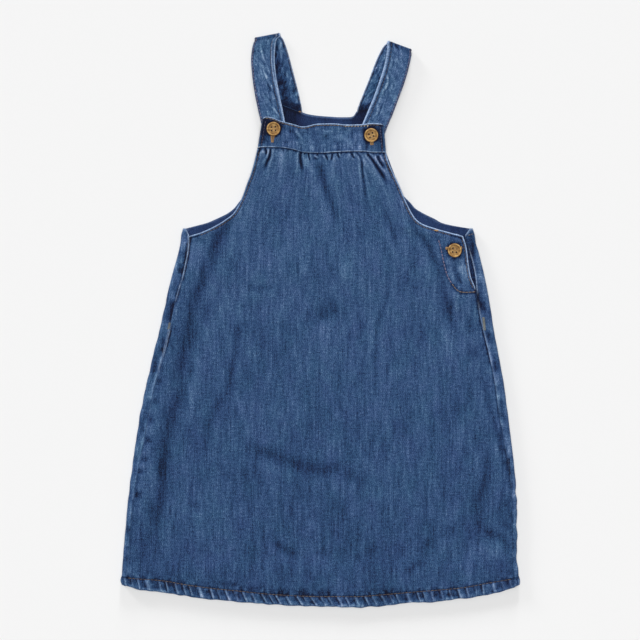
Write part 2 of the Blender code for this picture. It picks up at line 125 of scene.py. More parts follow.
# Shifts of the weave from piece to piece, so that no two carry the same marks
SIDE_WEAVE = 37
BAND_WEAVE = 20
FACING_WEAVE = 50
STAND_WEAVE = 80
STRAP_WEAVE = 100

# The sides from the hem to the underarm
Side = namedtuple("Side", "up left_fold left_seam right_front right_back right_fold")
SIDES = [Side(*row) for row in (
    (-264.4, -198.6, -194.6, 194.75, 194.9, 199.4),
    (-260, -199.9, -194.8, 194.75, 194.9, 200),
    (-254, -198.4, -193.8, 193.85, 194, 198.4),
    (-238, -197.4, -192.7, 191.95, 192.1, 196.6),
    (-210, -195, -190.3, 191.75, 191.9, 196.6),
    (-180, -192.4, -187.4, 191.45, 191.6, 196.4),
    (-150, -188.7, -182.8, 188.95, 189.1, 194.4),
    (-120, -184.5, -176.5, 183.75, 183.9, 191),
    (-90, -179.7, -171.3, 178.35, 178.5, 187.3),
    (-60, -173.2, -164.8, 174.15, 174.3, 183.2),
    (-30, -166.2, -156.2, 167.85, 168, 177.6),
    (-5, -159.8, -150.2, 161.65, 161.8, 172.9),
    (15, -155.3, -146.4, 157.65, 157.8, 169.9),
    (32, -151.6, -142.1, 155, 156, 166.8),
    (44, -148.5, -138.2, 150.4, 154.9, 164.3),
    (57, -144.9, -135.4, 148.1, 152.4, 161.2),
    (68, -141.8, -133.2, 146.8, 149.3, 158.4),
    (77.2, -139.8, -132.4, 145, 147.4, 155.5),
    (84.2, -139.2, -131.7, 142.5, 145.6, 154.6),
    (91.7, -137.2, -131.2, 141.2, 144.8, 152.4),
)]

# The side seams from the hem up: how white the back's edge and the front's left edge are rubbed,
# how much painted shadow lies beside the seam, how pale the back is beside it and at the left fold
Seam = namedtuple("Seam", "up left_rub left_edge left_sunk left_pale fold_pale "
                          "right_rub right_sunk right_pale")
SEAMS = [Seam(*row) for row in (
    (-264, 0, 0, 0.2, 0, 0, 0, 0.2, 0),
    (-210, 0, 0, 0.1, 0.2, 0, 0, 0.2, 0.3),
    (-180, 0, 0, 0.3, 0.6, 0, 0, 0.2, 0.4),
    (-160, 0, 0, 0.2, 1.1, 0, 0.05, 0.5, 0.4),
    (-130, 0, 0, 0, 0.9, 0, 0.05, 0.4, 0.7),
    (-100, 0, 0, 0, 0.5, 0, 0.05, 0.4, 0.7),
    (-80, 0, 0, 0, 0.6, 0, 0.1, 0.6, 0.8),
    (-52, 0.1, 0.1, 0, 0.7, 0, 0.15, 0.8, 0.7),
    (-42, 0.4, 0.2, 0.2, 0.8, 0, 0.3, 1, 1),
    (-25, 0.4, 0.4, 1.2, 0.3, 0.2, 0.45, 1, 0.8),
    (-12, 0.35, 0.6, 1.5, 0.2, 0.2, 0.5, 1, 0.7),
    (-6, 0.3, 0.1, 0.7, 0.2, 0.1, 0.55, 1, 0.7),
    (0, 0, 0, 0.3, 0, 0, 0.6, 1, 0.6),
    (16, 0, 0, 0.6, 0, 0, 0.3, 1, 0.2),
    (24, 0, 0.45, 1, 0, 0.8, 0, 0.8, 0),
    (36, 0, 0.6, 0.7, 0, 0.9, 0.7, 1, 0),
    (60, 0, 0.7, 1.6, 0, 0.9, 0.6, 1, 0),
    (80, 0.1, 0.8, 1.7, 0, 1.2, 0, 1, 0),
    (86, 0.5, 0.3, 0.6, 0, 1, 0, 1, 0),
)]

# The hem: its lower edge and its row of stitches, how far its twists slant from the stitches to
# the edge, and how strong they are
Hem = namedtuple("Hem", "across edge stitches slant twist")
HEM_LINE = [Hem(*row) for row in (
    (-199, -264.4, -256.8, 0.5, 0.5),
    (-185.8, -268.3, -258.3, 2, 0.7),
    (-159.8, -271.8, -260.3, 3, 0.9),
    (-133.8, -275.6, -264.6, 3.5, 1),
    (-107.8, -279.4, -268.2, 3.8, 1.1),
    (-81.8, -281.8, -270.8, 5, 1),
    (-55.8, -283.8, -273.5, 6, 1.1),
    (-29.8, -285.3, -275.3, 6, 1.1),
    (0, -286.2, -276.3, 7, 1),
    (35.2, -287.3, -276.3, 5, 1),
    (61.2, -285.8, -274.6, 6, 0.85),
    (87.2, -283, -272.3, 4, 0.75),
    (113.2, -281.6, -270.2, 3.5, 0.75),
    (139.2, -278.9, -267.9, 3.5, 0.85),
    (165.2, -274.9, -263.4, 1.5, 0.7),
    (185, -270.2, -259.9, 2.5, 0.6),
    (199.5, -264.4, -257.2, 1, 0.4),
)]

# The edges of the front and of the back above the underarm
Edge = namedtuple("Edge", "up left right")
FRONT_ARMHOLES = [Edge(*row) for row in (
    (84.2, -130.9, 142.5), (87.6, -119.6, 129.5), (92.2, -109.3, 113.5), (96.2, -101.7, 102.3),
    (101.2, -94, 95.6), (106.5, -87.3, 91.9), (115.2, -81.8, 87.3), (124.2, -77.5, 83.3),
    (136.2, -73.3, 78.3), (147.2, -69.2, 73), (158.2, -66, 68.2), (168, -63.6, 65.7),
    (172.4, -62.6, 65.2),
)]
BACK_ARMHOLES = [Edge(*row) for row in (
    (91.7, -134.4, 149.6), (94.2, -124.7, 134.2), (97.2, -113.3, 121.5), (100.7, -104.7, 115.2),
    (106.2, -92.8, 103.4), (111.2, -85.8, 94.8), (115.7, -82, 90.7), (125.2, -73.8, 81.2),
    (138.2, -69.3, 75.7), (152.2, -64.3, 69.7), (166.2, -59.3, 64.2), (180.2, -54.5, 61.8),
    (192, -51, 63.2), (206, -48.2, 66),
)]

# The neck edge of the back, which takes the ends of the straps
Neck = namedtuple("Neck", "across up")
BACK_NECK = [Neck(*row) for row in (
    (-48.2, 220), (-18.8, 208.2), (-11.6, 205.9), (-1.3, 204.4), (9.7, 203.6), (19.7, 203),
    (29.7, 203.1), (33.6, 204.4), (36.4, 208.8), (66, 215.8),
)]

# The bib band, a column across it at a time
Column = namedtuple("Column", "along top_across top_up foot_across foot_up")
BAND_COLUMNS = [Column(*row) for row in (
    (0, -57.8, 201.9, -62.5, 172.6), (0.05, -54.2, 203.4, -57.4, 172.9),
    (0.1, -49.9, 203, -52.3, 173), (0.2, -39.7, 199.2, -38.7, 172.5),
    (0.3, -28.3, 196.2, -27.3, 170.7), (0.4, -16.8, 193.6, -15.3, 167.7),
    (0.5, -2.3, 196.4, -0.3, 167.2), (0.6, 12.7, 196.7, 16.7, 168.2),
    (0.7, 27.7, 195.4, 31.7, 168.7), (0.8, 39.7, 195.6, 42.7, 168.7),
    (0.9, 51.7, 196.9, 53.7, 167.6), (1, 63.2, 196.1, 65.7, 167.6),
)]
BAND_CORNER = 3
BAND_HEIGHT = 30
BAND_LENGTH = 128
BAND_ROW = 1.8

# How the front lies: its height in the middle and at each edge, and how far in from the edges it
# stays high and then falls
Lie = namedtuple("Lie", "up middle left right left_flat left_fall right_flat right_fall")
FRONT_LIE = [Lie(*row) for row in (
    (-290, 4.6, 5.6, 5.6, 3, 26, 3, 16),
    (-253, 4.6, 5.6, 5.6, 3, 26, 3, 16),
    (-235, 3.4, 5.6, 5.6, 5, 30, 4, 18),
    (-150, 3.2, 5.6, 5.6, 9, 24, 4, 16),
    (-60, 3.2, 5.6, 5.6, 8, 20, 5, 18),
    (0, 3.2, 5.6, 6, 8, 20, 8, 22),
    (28, 3.8, 5.6, 6.9, 8, 20, 20, 20),
    (52, 4.6, 5.6, 6.9, 8, 22, 22, 20),
    (84, 4.6, 5.4, 6.8, 8, 26, 26, 24),
    (92, 4.6, 5, 6, 4, 26, 16, 24),
    (102, 4.6, 4.8, 4.8, 3, 18, 3, 18),
    (140, 5, 4.8, 4.8, 3, 14, 3, 14),
    (175, 5.4, 5, 5, 3, 14, 3, 14),
)]

# A crease follows a line through its places. Its shade is negative in a trough's bottom and
# positive on a ridge, and its height goes with the shade. That shade is partly the wash and partly
# painted shade in the trough and painted light on the ridge and on the paler crests beside a trough.
# It has a half width at its head and at its foot. It fades in over a share of its length from the
# head, and out before the foot.
Crease = namedtuple("Crease", "places shade width foot_width fade_in fade_out",
                    defaults=(None, 0.3, 0.3))
CREASE_HEIGHT = 0.35
SHARP = 1.5
# The gathers under the band, with painted shade in their troughs and painted light on their ridges
GATHERS = [Crease(*row) for row in (
    ([(-59.3, 171.2), (-61.9, 167.2), (-63.3, 162.2)], -2.6, 1, 1.4, 0.05, 0.5),
    ([(-55.3, 171.6), (-53.9, 168.2), (-54.3, 164.7)], -2.9, 1.3, 1.2, 0.02, 0.35),
    ([(-58.3, 169.7), (-56.3, 166.7)], 1, 0.8, 0.8, 0.1, 0.4),
    ([(-51.7, 170.4), (-52.7, 165.2), (-54.3, 160.2)], 1.6, 0.8, 1, 0.05, 0.5),
    ([(-49.8, 171.6), (-50.1, 167.2), (-51.1, 162.7), (-53.1, 158.2), (-54.7, 153.2),
      (-56.7, 147.2)], -3.5, 1, 1.9, 0.02, 0.55),
    ([(-37.3, 170.7), (-36.1, 168.6)], -2.2, 1, 0.8, 0.05, 0.4),
    ([(-32.9, 170.2), (-32.7, 168.2)], -1.7, 0.8, 0.8, 0.05, 0.4),
    ([(-19.3, 168.8), (-20.1, 164.2), (-19.7, 159.2), (-18.7, 153.2), (-17.3, 144.2)], -3.2, 1.3,
      2.6, 0.02, 0.6),
    ([(-15.7, 167.8), (-15.3, 165.6)], -2.2, 0.9, 0.9, 0.05, 0.4),
    ([(-11.9, 167.6), (-11.3, 163.2), (-9.9, 158.2)], -3.1, 0.9, 0.8, 0.02, 0.4),
    ([(-8.3, 162.2), (-1.3, 160.2)], -1.2, 1.6, 1.6, 0.2, 0.3),
    ([(-6.3, 164.8), (-3.9, 163.2), (-1.5, 161.4)], 1.7, 0.8, 0.8, 0.1, 0.3),
    ([(-3.1, 166.8), (-2.7, 164.2)], -2.4, 0.9, 0.8, 0.05, 0.4),
    ([(1.7, 165.4), (5.1, 161.6)], 1.5, 0.9, 0.9, 0.1, 0.4),
    ([(5.7, 165.8), (6.5, 162.2), (7.9, 158.6)], -3.2, 0.95, 0.9, 0.02, 0.4),
    ([(11.9, 166), (11.5, 162.2), (10.5, 158.2)], -3, 0.9, 0.9, 0.02, 0.4),
    ([(17.1, 167.2), (18.1, 163.8), (20.1, 160.8)], -3.1, 1, 0.9, 0.02, 0.4),
    ([(20.5, 167.2), (21.3, 164.8)], -2.2, 0.9, 0.8, 0.02, 0.4),
    ([(31.3, 166.6), (32.7, 163.4), (35.3, 162)], -3, 1, 0.9, 0.02, 0.35),
    ([(35.7, 167.2), (38.9, 164.8), (40.9, 160.8), (41.7, 155.6), (41.9, 150.2), (43.1, 140.2),
      (46.1, 120.2), (49.7, 98.2)], -2.4, 0.9, 2.6, 0.02, 0.85),
    ([(46.5, 166.6), (49.7, 163.2), (52.9, 159), (56.1, 154.4), (59.3, 149.6), (62.7, 144.2),
      (69.7, 132.2)], -3.6, 1.1, 2.6, 0.02, 0.5),
    ([(57.3, 164.6), (58.7, 159.2), (62.1, 154.6), (66.3, 150.2)], -2.3, 1.4, 2.6, 0.05, 0.4),
    ([(54.7, 165.2), (56.7, 159.8), (60.3, 153.8), (64.7, 147.2)], 1.5, 0.8, 1, 0.05, 0.5),
    ([(59.5, 165.2), (61.7, 160.6), (64.9, 155.8)], 1.4, 0.9, 0.9, 0.05, 0.4),
    ([(63.7, 162.2), (68.7, 152.2), (73.7, 142.2)], -1.6, 1, 1.6, 0.2, 0.4),
    ([(-2.3, 160.2), (0.7, 152.2), (2.7, 142.2), (6.1, 131.2), (10.3, 119.2), (13.7, 104.2),
      (17.7, 88.2)], -1.15, 3.4, 5, 0.12, 0.55),
    ([(-40.3, 168.2), (-39.3, 156.2), (-40.3, 140.2)], 0.9, 5, 6, 0.02, 0.8),
    ([(-14.3, 162.2), (-9.3, 150.2), (-4.3, 133.2)], 0.9, 2.4, 3, 0.05, 0.7),
    ([(14.7, 163.2), (11.7, 152.2), (13.7, 138.2), (19.7, 120.2)], 0.9, 2.6, 4, 0.05, 0.8),
    ([(26.7, 165.6), (27.7, 158.2)], 0.7, 2.4, 3, 0.05, 0.6),
    ([(38.1, 164.2), (45.7, 156.2), (55.7, 142.2), (64.7, 130.2)], 0.9, 2, 2.6, 0.1, 0.6),
    ([(-63.3, 160.2), (-64.3, 150.2)], 0.8, 3, 3, 0.2, 0.5),
    ([(65.7, 162.2), (68.7, 154.2)], 1, 1.6, 1.6, 0.2, 0.5),
    ([(59.7, 124.2), (65.7, 106.2), (71.7, 90.2), (75.7, 76.2), (79.7, 58.2)], -0.7, 2.6, 3.4, 0.3,
      0.4),
    ([(62.7, 80.2), (65.7, 58.2)], -0.5, 3.2, 3.2, 0.3, 0.4),
)]
# Long folds from the armholes and marks on the front, with painted shade in their troughs and
# painted light on their ridges
CREASES = [Crease(*row) for row in (
    ([(-83, 114), (-92, 99), (-103, 80), (-110, 61), (-119, 37), (-126, 17), (-132, -8),
      (-136, -30), (-139, -50), (-140, -70), (-144, -87), (-151, -105), (-154, -122), (-157, -140),
      (-158, -160), (-160, -177), (-164, -196), (-169, -213), (-172, -232)], -1.1, 6, 8.5, 0.1,
      0.15),
    ([(-106, 34), (-114, 8), (-122, -15), (-127, -40)], -0.6, 6, 6, 0.3, 0.4),
    ([(-151, -195), (-154, -225), (-150, -245)], 0.5, 4, 4, 0.3, 0.4),
    ([(-82, -2), (-84, -25), (-88, -46), (-92, -66), (-98, -79), (-107, -93), (-112, -110),
      (-115, -132), (-115, -150)], -0.65, 4, 5, 0.05, 0.4),
    ([(-77, 34), (-62, 32), (-43, 34)], -0.6, 3.2),
    ([(-20, 2), (-10, 5), (2, 7), (11, 12), (22, 14)], -0.6, 8, 9, 0.2, 0.25),
    ([(-80, -118), (-65, -128), (-50, -134), (-37, -139), (-17, -146), (2, -149), (18, -148),
      (29, -155), (43, -161), (70, -166)], -0.8, 7, 7, 0.15, 0.35),
    ([(37, -118), (40, -135), (47, -150)], 0.5, 4, 3.4),
    ([(18, -73), (21, -88), (30, -96)], -0.65, 3, 4, 0.25, 0.4),
    ([(48, -126), (54, -118)], -0.55, 3.2),
    ([(68, 48), (68, 30), (64, 14), (58, -2), (56, -22), (54, -42), (54, -62), (56, -82),
      (54, -96)], -0.65, 2.6, 3.2, 0.15, 0.3),
    ([(82, 112), (90, 98), (98, 87), (106, 78), (112, 66), (118, 54), (122, 40), (124, 27),
      (128, 12), (132, -4), (139, -20), (148, -36)], -0.9, 3.2, 5, 0.12, 0.35),
    ([(146, 8), (149, -4), (150, -16)], -0.8, 3.6),
    ([(144, -32), (160, -34)], -0.5, 6.5),
    ([(161, -54), (166, -74), (170, -90), (175, -106), (180, -124), (183, -136)], -0.8, 3, 3.4,
      0.2, 0.1),
    ([(183, -138), (186, -146), (189, -158)], -0.5, 4.2, 4.2, 0.15, 0.2),
    ([(160, -118), (166, -138), (164, -160), (158, -180), (157, -198), (154, -220)], -0.7, 4.6,
      5.4, 0.2, 0.3),
    ([(162, -210), (175, -215), (190, -222)], -0.8, 4.6, 4.6, 0.25, 0.3),
    ([(122, -209), (138, -210)], -0.7, 6),
    ([(110, -216), (110, -230)], -0.8, 6),
    ([(102, -238), (94, -247), (84, -254)], -0.75, 4.6, 4.6, 0.25, 0.3),
    ([(56, -224), (46, -233)], -0.65, 5),
    ([(38, -232), (37, -244)], -0.55, 4),
    ([(-2, -228), (7, -236)], -0.65, 4.6),
    ([(-48, -218), (-39, -227), (-30, -231), (-19, -236)], -0.95, 4.6, 4.4, 0.25, 0.3),
    ([(-132, -178), (-126, -186), (-117, -186)], -0.6, 5),
    ([(26, 62), (24, 38)], 0.75, 6, 6, 0.35),
    ([(-17, 58), (-16, 44)], 0.6, 4),
    ([(-7, -200), (-6, -212)], 0.6, 6),
    ([(150, -228), (186, -232)], 0.65, 9),
    ([(131, 56), (137, 44), (143, 32)], -1.1, 2.4, 2.8, 0.25),
    ([(139, 62), (146, 48), (150, 36)], 1.2, 4, 4, 0.25),
    ([(125, 63), (131, 54)], 0.6, 3),
    ([(-165, -60), (-157, -61)], -1, 3.4),
    ([(-169, -81), (-161, -82)], -0.9, 3.4),
    ([(-173, -99), (-165, -101)], -1.1, 3.4),
    ([(-176, -120), (-168, -121)], -1.7, 3.4),
    ([(-180, -138), (-172, -139)], -1.7, 3.4),
    ([(-183, -151), (-175, -151)], -1.5, 2.6),
    ([(-186, -174), (-178, -175)], -1.5, 4),
    ([(-145, 24), (-148, 12), (-151, 0)], -1.5, 2, 2, 0.35),
    ([(113, 86), (120, 80)], -0.7, 3),
    ([(-121, 82), (-114, 77)], -0.6, 3.4),
)]
# Creases above the hem's stitches and along its edge, with painted shade in their troughs and
# painted light on their ridges
HEM_CREASES = [Crease(*row) for row in (
    ([(-112, -263), (-88, -264), (-76, -268)], -0.7, 2.2, 2.4, 0.2),
    ([(-76, -268), (-56, -268)], -0.7, 3, 3, 0.2, 0.3),
    ([(-44, -273), (-29, -274)], -1.1, 4.2, 4.2, 0.2),
    ([(-22, -272), (-9, -274)], -1.1, 4.4, 4.4, 0.2),
    ([(-3, -274), (12, -274)], -1.1, 4.8, 4.8, 0.2),
    ([(34, -278), (41, -280)], -0.8, 3.4, 3.4, 0.2),
    ([(63, -275), (77, -273)], -1.1, 4.6, 4.6, 0.2),
    ([(91, -275), (103, -276)], -0.9, 4, 4, 0.2),
    ([(113, -273), (120, -274)], -0.8, 3.4, 3.4, 0.2),
    ([(127, -273), (133, -272)], -0.7, 3, 3, 0.2),
    ([(142, -270), (150, -270)], -0.7, 3, 3, 0.2),
    ([(158, -268), (163, -264)], -0.8, 3.4, 3.4, 0.2),
    ([(-99, -270), (-97, -274)], -0.7, 3, 3, 0.2),
    ([(-83, -273), (-77, -276)], -0.7, 3, 3, 0.2),
    ([(-156, -263), (-144, -265)], -0.7, 2.4, 2.4, 0.2),
    ([(-177, -260), (-169, -261)], 1.3, 4, 4, 0.2),
    ([(166, -264), (174, -268)], 1.6, 4, 4, 0.2),
    ([(-194, -267), (-170, -270), (-145, -273)], 0.9, 2, 2, 0.2, 0.3),
    ([(-68, -283), (-48, -285)], 0.8, 2, 2, 0.2),
    ([(13, -286), (46, -285)], 0.9, 2, 2, 0.2),
    ([(-96, -275), (-88, -279)], 0.9, 4, 3, 0.2),
)]
# Dark puckers and a bright ridge of the back where it comes round the sides, in painted shade and
# painted light
SIDE_CREASES = [Crease(*row) for row in (
    ([(-136, 76), (-132, 72)], -0.9, 3),
    ([(-140, 58), (-139, 45)], -2, 3.2, 3.2, 0.25),
    ([(-146, 30), (-148, 10), (-151, -14)], -1.1, 2.8, 2.8, 0.35),
    ([(-156, -16), (-159, -34)], -1.3, 2.6),
    ([(151, 80), (152, 68), (152, 56)], -2, 3.4, 3.4, 0.2),
    ([(154, 31), (158, 18), (163, 7)], -1.8, 4.6, 4.6, 0.15, 0.2),
    ([(167, -10), (169, -18)], -0.8, 3),
    ([(173, -39), (176, -52)], -0.8, 3.2, 3.2, 0.25),
    ([(180, -78), (181, -90)], -0.7, 3.2, 3.2, 0.25),
    ([(186, -137), (188, -149), (189, -161)], -0.9, 4, 4, 0.2),
    ([(190, -240), (192, -255)], -1, 3),
    ([(159, 48), (160, 34)], 0.5, 4),
)]
# Soft creases and puckers of the bib band, with painted shade in their hollows and painted light
# on their ridges
BAND_CREASES = [Crease(*row) for row in (
    ([(-27, 192), (-20, 183), (-16, 177)], 1.5, 1.3, 2, 0.3, 0.5),
    ([(-8, 191), (4, 188), (14, 189)], 0.6, 2.4, 2.4, 0.4, 0.4),
    ([(-40, 188), (-39, 178)], -0.7, 1.6, 2.2, 0.3, 0.4),
    ([(-31, 190), (-29, 181)], -0.7, 1.6, 2, 0.3, 0.4),
    ([(24, 184), (28, 176), (25, 171)], 0.7, 2, 2.4, 0.3, 0.4),
    ([(34, 188), (36, 178)], 0.6, 1.6, 2, 0.3, 0.4),
    ([(10, 182), (16, 176), (22, 174)], -0.6, 2.2, 2.4, 0.4, 0.4),
    ([(-6, 181), (2, 175)], -0.6, 2, 2.2, 0.4, 0.4),
    ([(42.4, 193), (44.6, 186), (46, 178), (47, 169)], -1.3, 2.2, 3, 0.1, 0.1),
)]

# The straps: the front run from the end under the band up to the fold, the fold's line, and the
# back run from the fold down to the neck. Each row is a line across the strap. Places of their
# creases are (in from the left edge, along from the buttoned end).
Across = namedtuple("Across", "left_across left_up right_across right_up height")
StrapRow = namedtuple("StrapRow", ("along",) + Across._fields)
Strip = namedtuple("Strip", "name node front fold back creases inner length seed")
STRAP_MIDDLE = STRAP_TOP - STRAP / 2
STRAP_LOOP = 1.7
LEFT_FRONT = [Across(*row) for row in (
    (-55.1, 175.4, -32.3, 180.7, STRAP_MIDDLE),
    (-58.8, 195.2, -35.4, 199.4, STRAP_MIDDLE),
    (-61.6, 208.2, -37.9, 211.6, STRAP_MIDDLE),
    (-65.1, 225.2, -41.3, 228.2, STRAP_MIDDLE),
    (-67.9, 245.2, -44.5, 246.4, 4),
    (-69, 260.2, -45.6, 260.6, 4.2),
    (-68.1, 270.2, -45.2, 272.2, 4.4),
    (-66.6, 276.8, -43.4, 281.2, 4.4),
)]
LEFT_BACK = [Across(*row) for row in (
    (-61, 275, -37.6, 281.6, 1),
    (-56.4, 265, -33.1, 270.2, 1),
    (-52.3, 249.6, -29, 255.2, 1),
    (-48.6, 236, -25.2, 240.9, 1),
    (-46.5, 228, -21.7, 227, 1),
    (-44.4, 219.6, -17.9, 209, 1),
)]
RIGHT_FRONT = [Across(*row) for row in (
    (37.4, 181.2, 60.2, 173.6, STRAP_MIDDLE),
    (42.4, 197.2, 66.2, 191.2, STRAP_MIDDLE),
    (47.9, 210, 71.9, 205.2, STRAP_MIDDLE),
    (54, 225, 77.9, 221.2, STRAP_MIDDLE),
    (59.2, 239.6, 83.3, 235.7, 4),
    (63.4, 252.8, 87.5, 249.7, 4.2),
    (66.2, 266, 90.2, 261.4, 4.4),
    (67.2, 274.4, 91, 266.4, 4.4),
)]
RIGHT_BACK = [Across(*row) for row in (
    (63.8, 274.4, 86.6, 265.6, 1),
    (59, 266.2, 81.2, 256.8, 1),
    (54.2, 255.2, 76.4, 246, 1),
    (48.6, 240.2, 71, 232.6, 1),
    (42.5, 225.2, 66.6, 222, 1),
    (36.4, 209.4, 64.4, 216.2, 1),
)]
# The straps' creases: pale ridges and dark troughs, partly wear and partly painted light and painted
# shade
LEFT_STRAP_CREASES = [Crease(*row) for row in (
    ([(8.5, 95), (10.5, 90), (13, 84), (15, 79)], 1.7, 0.75, 0.9, 0.2, 0.5),
    ([(9.5, 77), (12.5, 70), (15, 62), (18, 55), (18, 48)], 1.6, 0.75, 1, 0.2, 0.3),
    ([(15, 52), (17.5, 46), (17, 40)], 1.4, 0.9, 1.4, 0.2, 0.3),
    ([(15, 38), (16, 33), (18.5, 27), (20, 22)], 1.3, 0.9, 1.2, 0.2, 0.3),
    ([(11, 108), (12, 100)], 0.8, 0.9),
    ([(16, 74), (19, 66)], 0.8, 0.8),
    ([(7, 70), (8, 60)], 0.6, 1.2),
    ([(4, 80), (6, 76)], 0.8, 0.9),
    ([(11.5, 82), (14.5, 76)], -1.2, 1),
    ([(13, 62), (17, 50)], -1.1, 0.9),
    ([(19, 56), (19.5, 44)], -1.3, 1),
    ([(13, 46), (15, 34)], -1.1, 1.2),
    ([(17.5, 36), (18.5, 28)], -1, 1),
)]
RIGHT_STRAP_CREASES = [Crease(*row) for row in (
    ([(6, 103), (8, 96), (11, 92)], 1.1, 0.9, 1, 0.2, 0.4),
    ([(11, 106), (14, 99), (15, 92)], 1.1, 0.8, 0.9, 0.2, 0.3),
    ([(4.5, 90), (7, 84), (5.5, 78)], 1.2, 0.9, 1, 0.2, 0.3),
    ([(5, 72), (8, 66), (8.5, 60), (7, 54)], 1.7, 0.8, 1.1, 0.2, 0.3),
    ([(6, 58), (6.5, 50)], 1.1, 1.3),
    ([(13, 66), (14, 56)], 0.9, 0.8),
    ([(6, 42), (9, 33), (8, 24)], 1.1, 0.9, 1, 0.2, 0.3),
    ([(4.5, 26), (6, 18), (8, 12)], 1.5, 0.9, 1, 0.2, 0.3),
    ([(12.5, 46), (13.5, 30)], 0.7, 0.9),
    ([(9.5, 102), (12.5, 94), (13, 88)], -1.2, 1),
    ([(10.5, 64), (11, 54)], -1, 1.1),
    ([(11, 42), (12, 28)], -1, 1),
    ([(5, 48), (5.5, 40)], -1, 1),
)]
STRIPS = [
    Strip("strap_left_cloth", "strap_left", LEFT_FRONT, Across(-65.6, 281.7, -40.3, 286.5, 2.7),
          LEFT_BACK, LEFT_STRAP_CREASES, "right", 0.19, 40),
    Strip("strap_right_cloth", "strap_right", RIGHT_FRONT, Across(67.4, 278.8, 91.2, 270, 2.7),
          RIGHT_BACK, RIGHT_STRAP_CREASES, "left", 0.18, 50),
]
STRAP_WIDTH = 23.4
INNER_ROW = 4
OUTER_ROW = 1.2
SEAM_SHADOW = 6.5
# How far a strap's end runs in between the back and its facing, thinned and lifted
TUCK = 1.6
TUCK_LIFT = 0.35

# A button's section from the middle of its face round the rim to the middle of its foot, and
# how much paler or darker the wood is painted at a radius: painted shade in the groove inside the
# rim and on its lower wall, and a painted highlight on the rim
Ring = namedtuple("Ring", "radius height")
BUTTON_RINGS = [Ring(*row) for row in (
    (0, 2), (2, 2), (4, 1.95), (4.6, 1.8), (4.95, 1.8),
    (5.3, 2.3), (5.6, 2.7), (5.95, 2.92), (6.3, 2.95), (6.65, 2.7),
    (6.9, 2.3), (7, 1.8), (6.9, 1.3), (6.2, 0.3), (5.8, 0),
    (0, 0),
)]
BUTTON_PAINTED_SHADING = [(0, 0.05), (3.6, 0.05), (4.9, -0.2), (5.4, 0), (6.2, 0.2), (6.7, 0.05),
                 (7, -0.6)]
HOLE_RADIUS = 0.95
HOLE_SPACING = 3.5
BUTTON_RADIUS = 7


def smooth(share):
    """An even rise from 0 to 1 as share goes from 0 to 1, level at both ends."""
    share = np.clip(share, 0, 1)
    return share * share * (3 - 2 * share)


def bell(offset, half_width):
    """1 in the middle, falling off evenly to both sides."""
    return np.exp(-(offset / half_width) ** 2)


def curve(rows, column):
    """A column of a table as a smooth function of the first column, which doesn't overshoot."""
    keys = np.array([row[0] for row in rows])
    values = np.array([getattr(row, column) for row in rows])
    secants = np.diff(values) / np.diff(keys)
    before, after = secants[:-1], secants[1:]
    rising = before * after > 0
    inner = np.where(rising, 2 * before * after / np.where(rising, before + after, 1), 0)
    slopes = np.concatenate(([secants[0]], inner, [secants[-1]]))

    def at(place):
        place = np.clip(place, keys[0], keys[-1])
        k = np.clip(np.searchsorted(keys, place, side="right") - 1, 0, len(keys) - 2)
        span = keys[k + 1] - keys[k]
        t = (place - keys[k]) / span
        rise = values[k + 1] - values[k]
        start, end = slopes[k] * span, slopes[k + 1] * span
        bend = (3 * rise - 2 * start - end) * t ** 2 + (start + end - 2 * rise) * t ** 3
        return values[k] + start * t + bend

    return at


def curves(rows):
    """Every column of a table but the first as such a function, by its name."""
    return {name: curve(rows, name) for name in rows[0]._fields[1:]}


side = curves(SIDES)
seams = curves(SEAMS)
lie = curves(FRONT_LIE)
front_armhole = curves(FRONT_ARMHOLES)
back_armhole = curves(BACK_ARMHOLES)
hem_edge, hem_stitches, hem_slant, hem_twist = curves(HEM_LINE).values()
neck_edge = curve(BACK_NECK, "up")
band_foot = curve([Neck(column.foot_across, column.foot_up) for column in BAND_COLUMNS], "up")
band_head = curve([Neck(column.top_across, column.top_up) for column in BAND_COLUMNS], "up")


def through(places, steps=6):
    """A smooth line through the given places, as points."""
    places = [Vector(place) for place in places]
    ends = [places[0] * 2 - places[1]] + places + [places[-1] * 2 - places[-2]]
    line = []
    for a, b, c, d in zip(ends, ends[1:], ends[2:], ends[3:]):
        for t in np.arange(steps) / steps:
            line.append((b * 2 + (c - a) * t + (a * 2 - b * 5 + c * 4 - d) * t ** 2
                         + (b * 3 - a - c * 3 + d) * t ** 3) / 2)
    return line + [places[-1]]


def nearest(line, across, up):
    """How far each place is from a line, and the nearest point's share of the line's length."""
    total = sum((b - a).length for a, b in zip(line, line[1:]))
    best = np.full(np.shape(across), 1e9)
    share = np.zeros(np.shape(across))
    start = 0
    for a, b in zip(line, line[1:]):
        run = b - a
        t = ((across - a.x) * run.x + (up - a.y) * run.y) / run.length_squared
        t = np.clip(t, 0, 1)
        gap = np.hypot(across - a.x - run.x * t, up - a.y - run.y * t)
        closer = gap < best
        share[closer] = ((start + run.length * t) / total)[closer]
        best = np.minimum(best, gap)
        start += run.length
    return best, share


def waves(across, up, across_size, up_size, seed):
    """Smooth random waves of about the given sizes, from -1 to 1."""
    across, up = np.broadcast_arrays(across / across_size, up / up_size)
    drawn = [noise.noise((x, y, seed)) for x, y in zip(across.flat, up.flat)]
    return np.reshape(drawn, across.shape)


def relief(height=0, worn=0, shade=0):
    """The three numbers of a place together."""
    return np.array(np.broadcast_arrays(height, worn, shade), float)


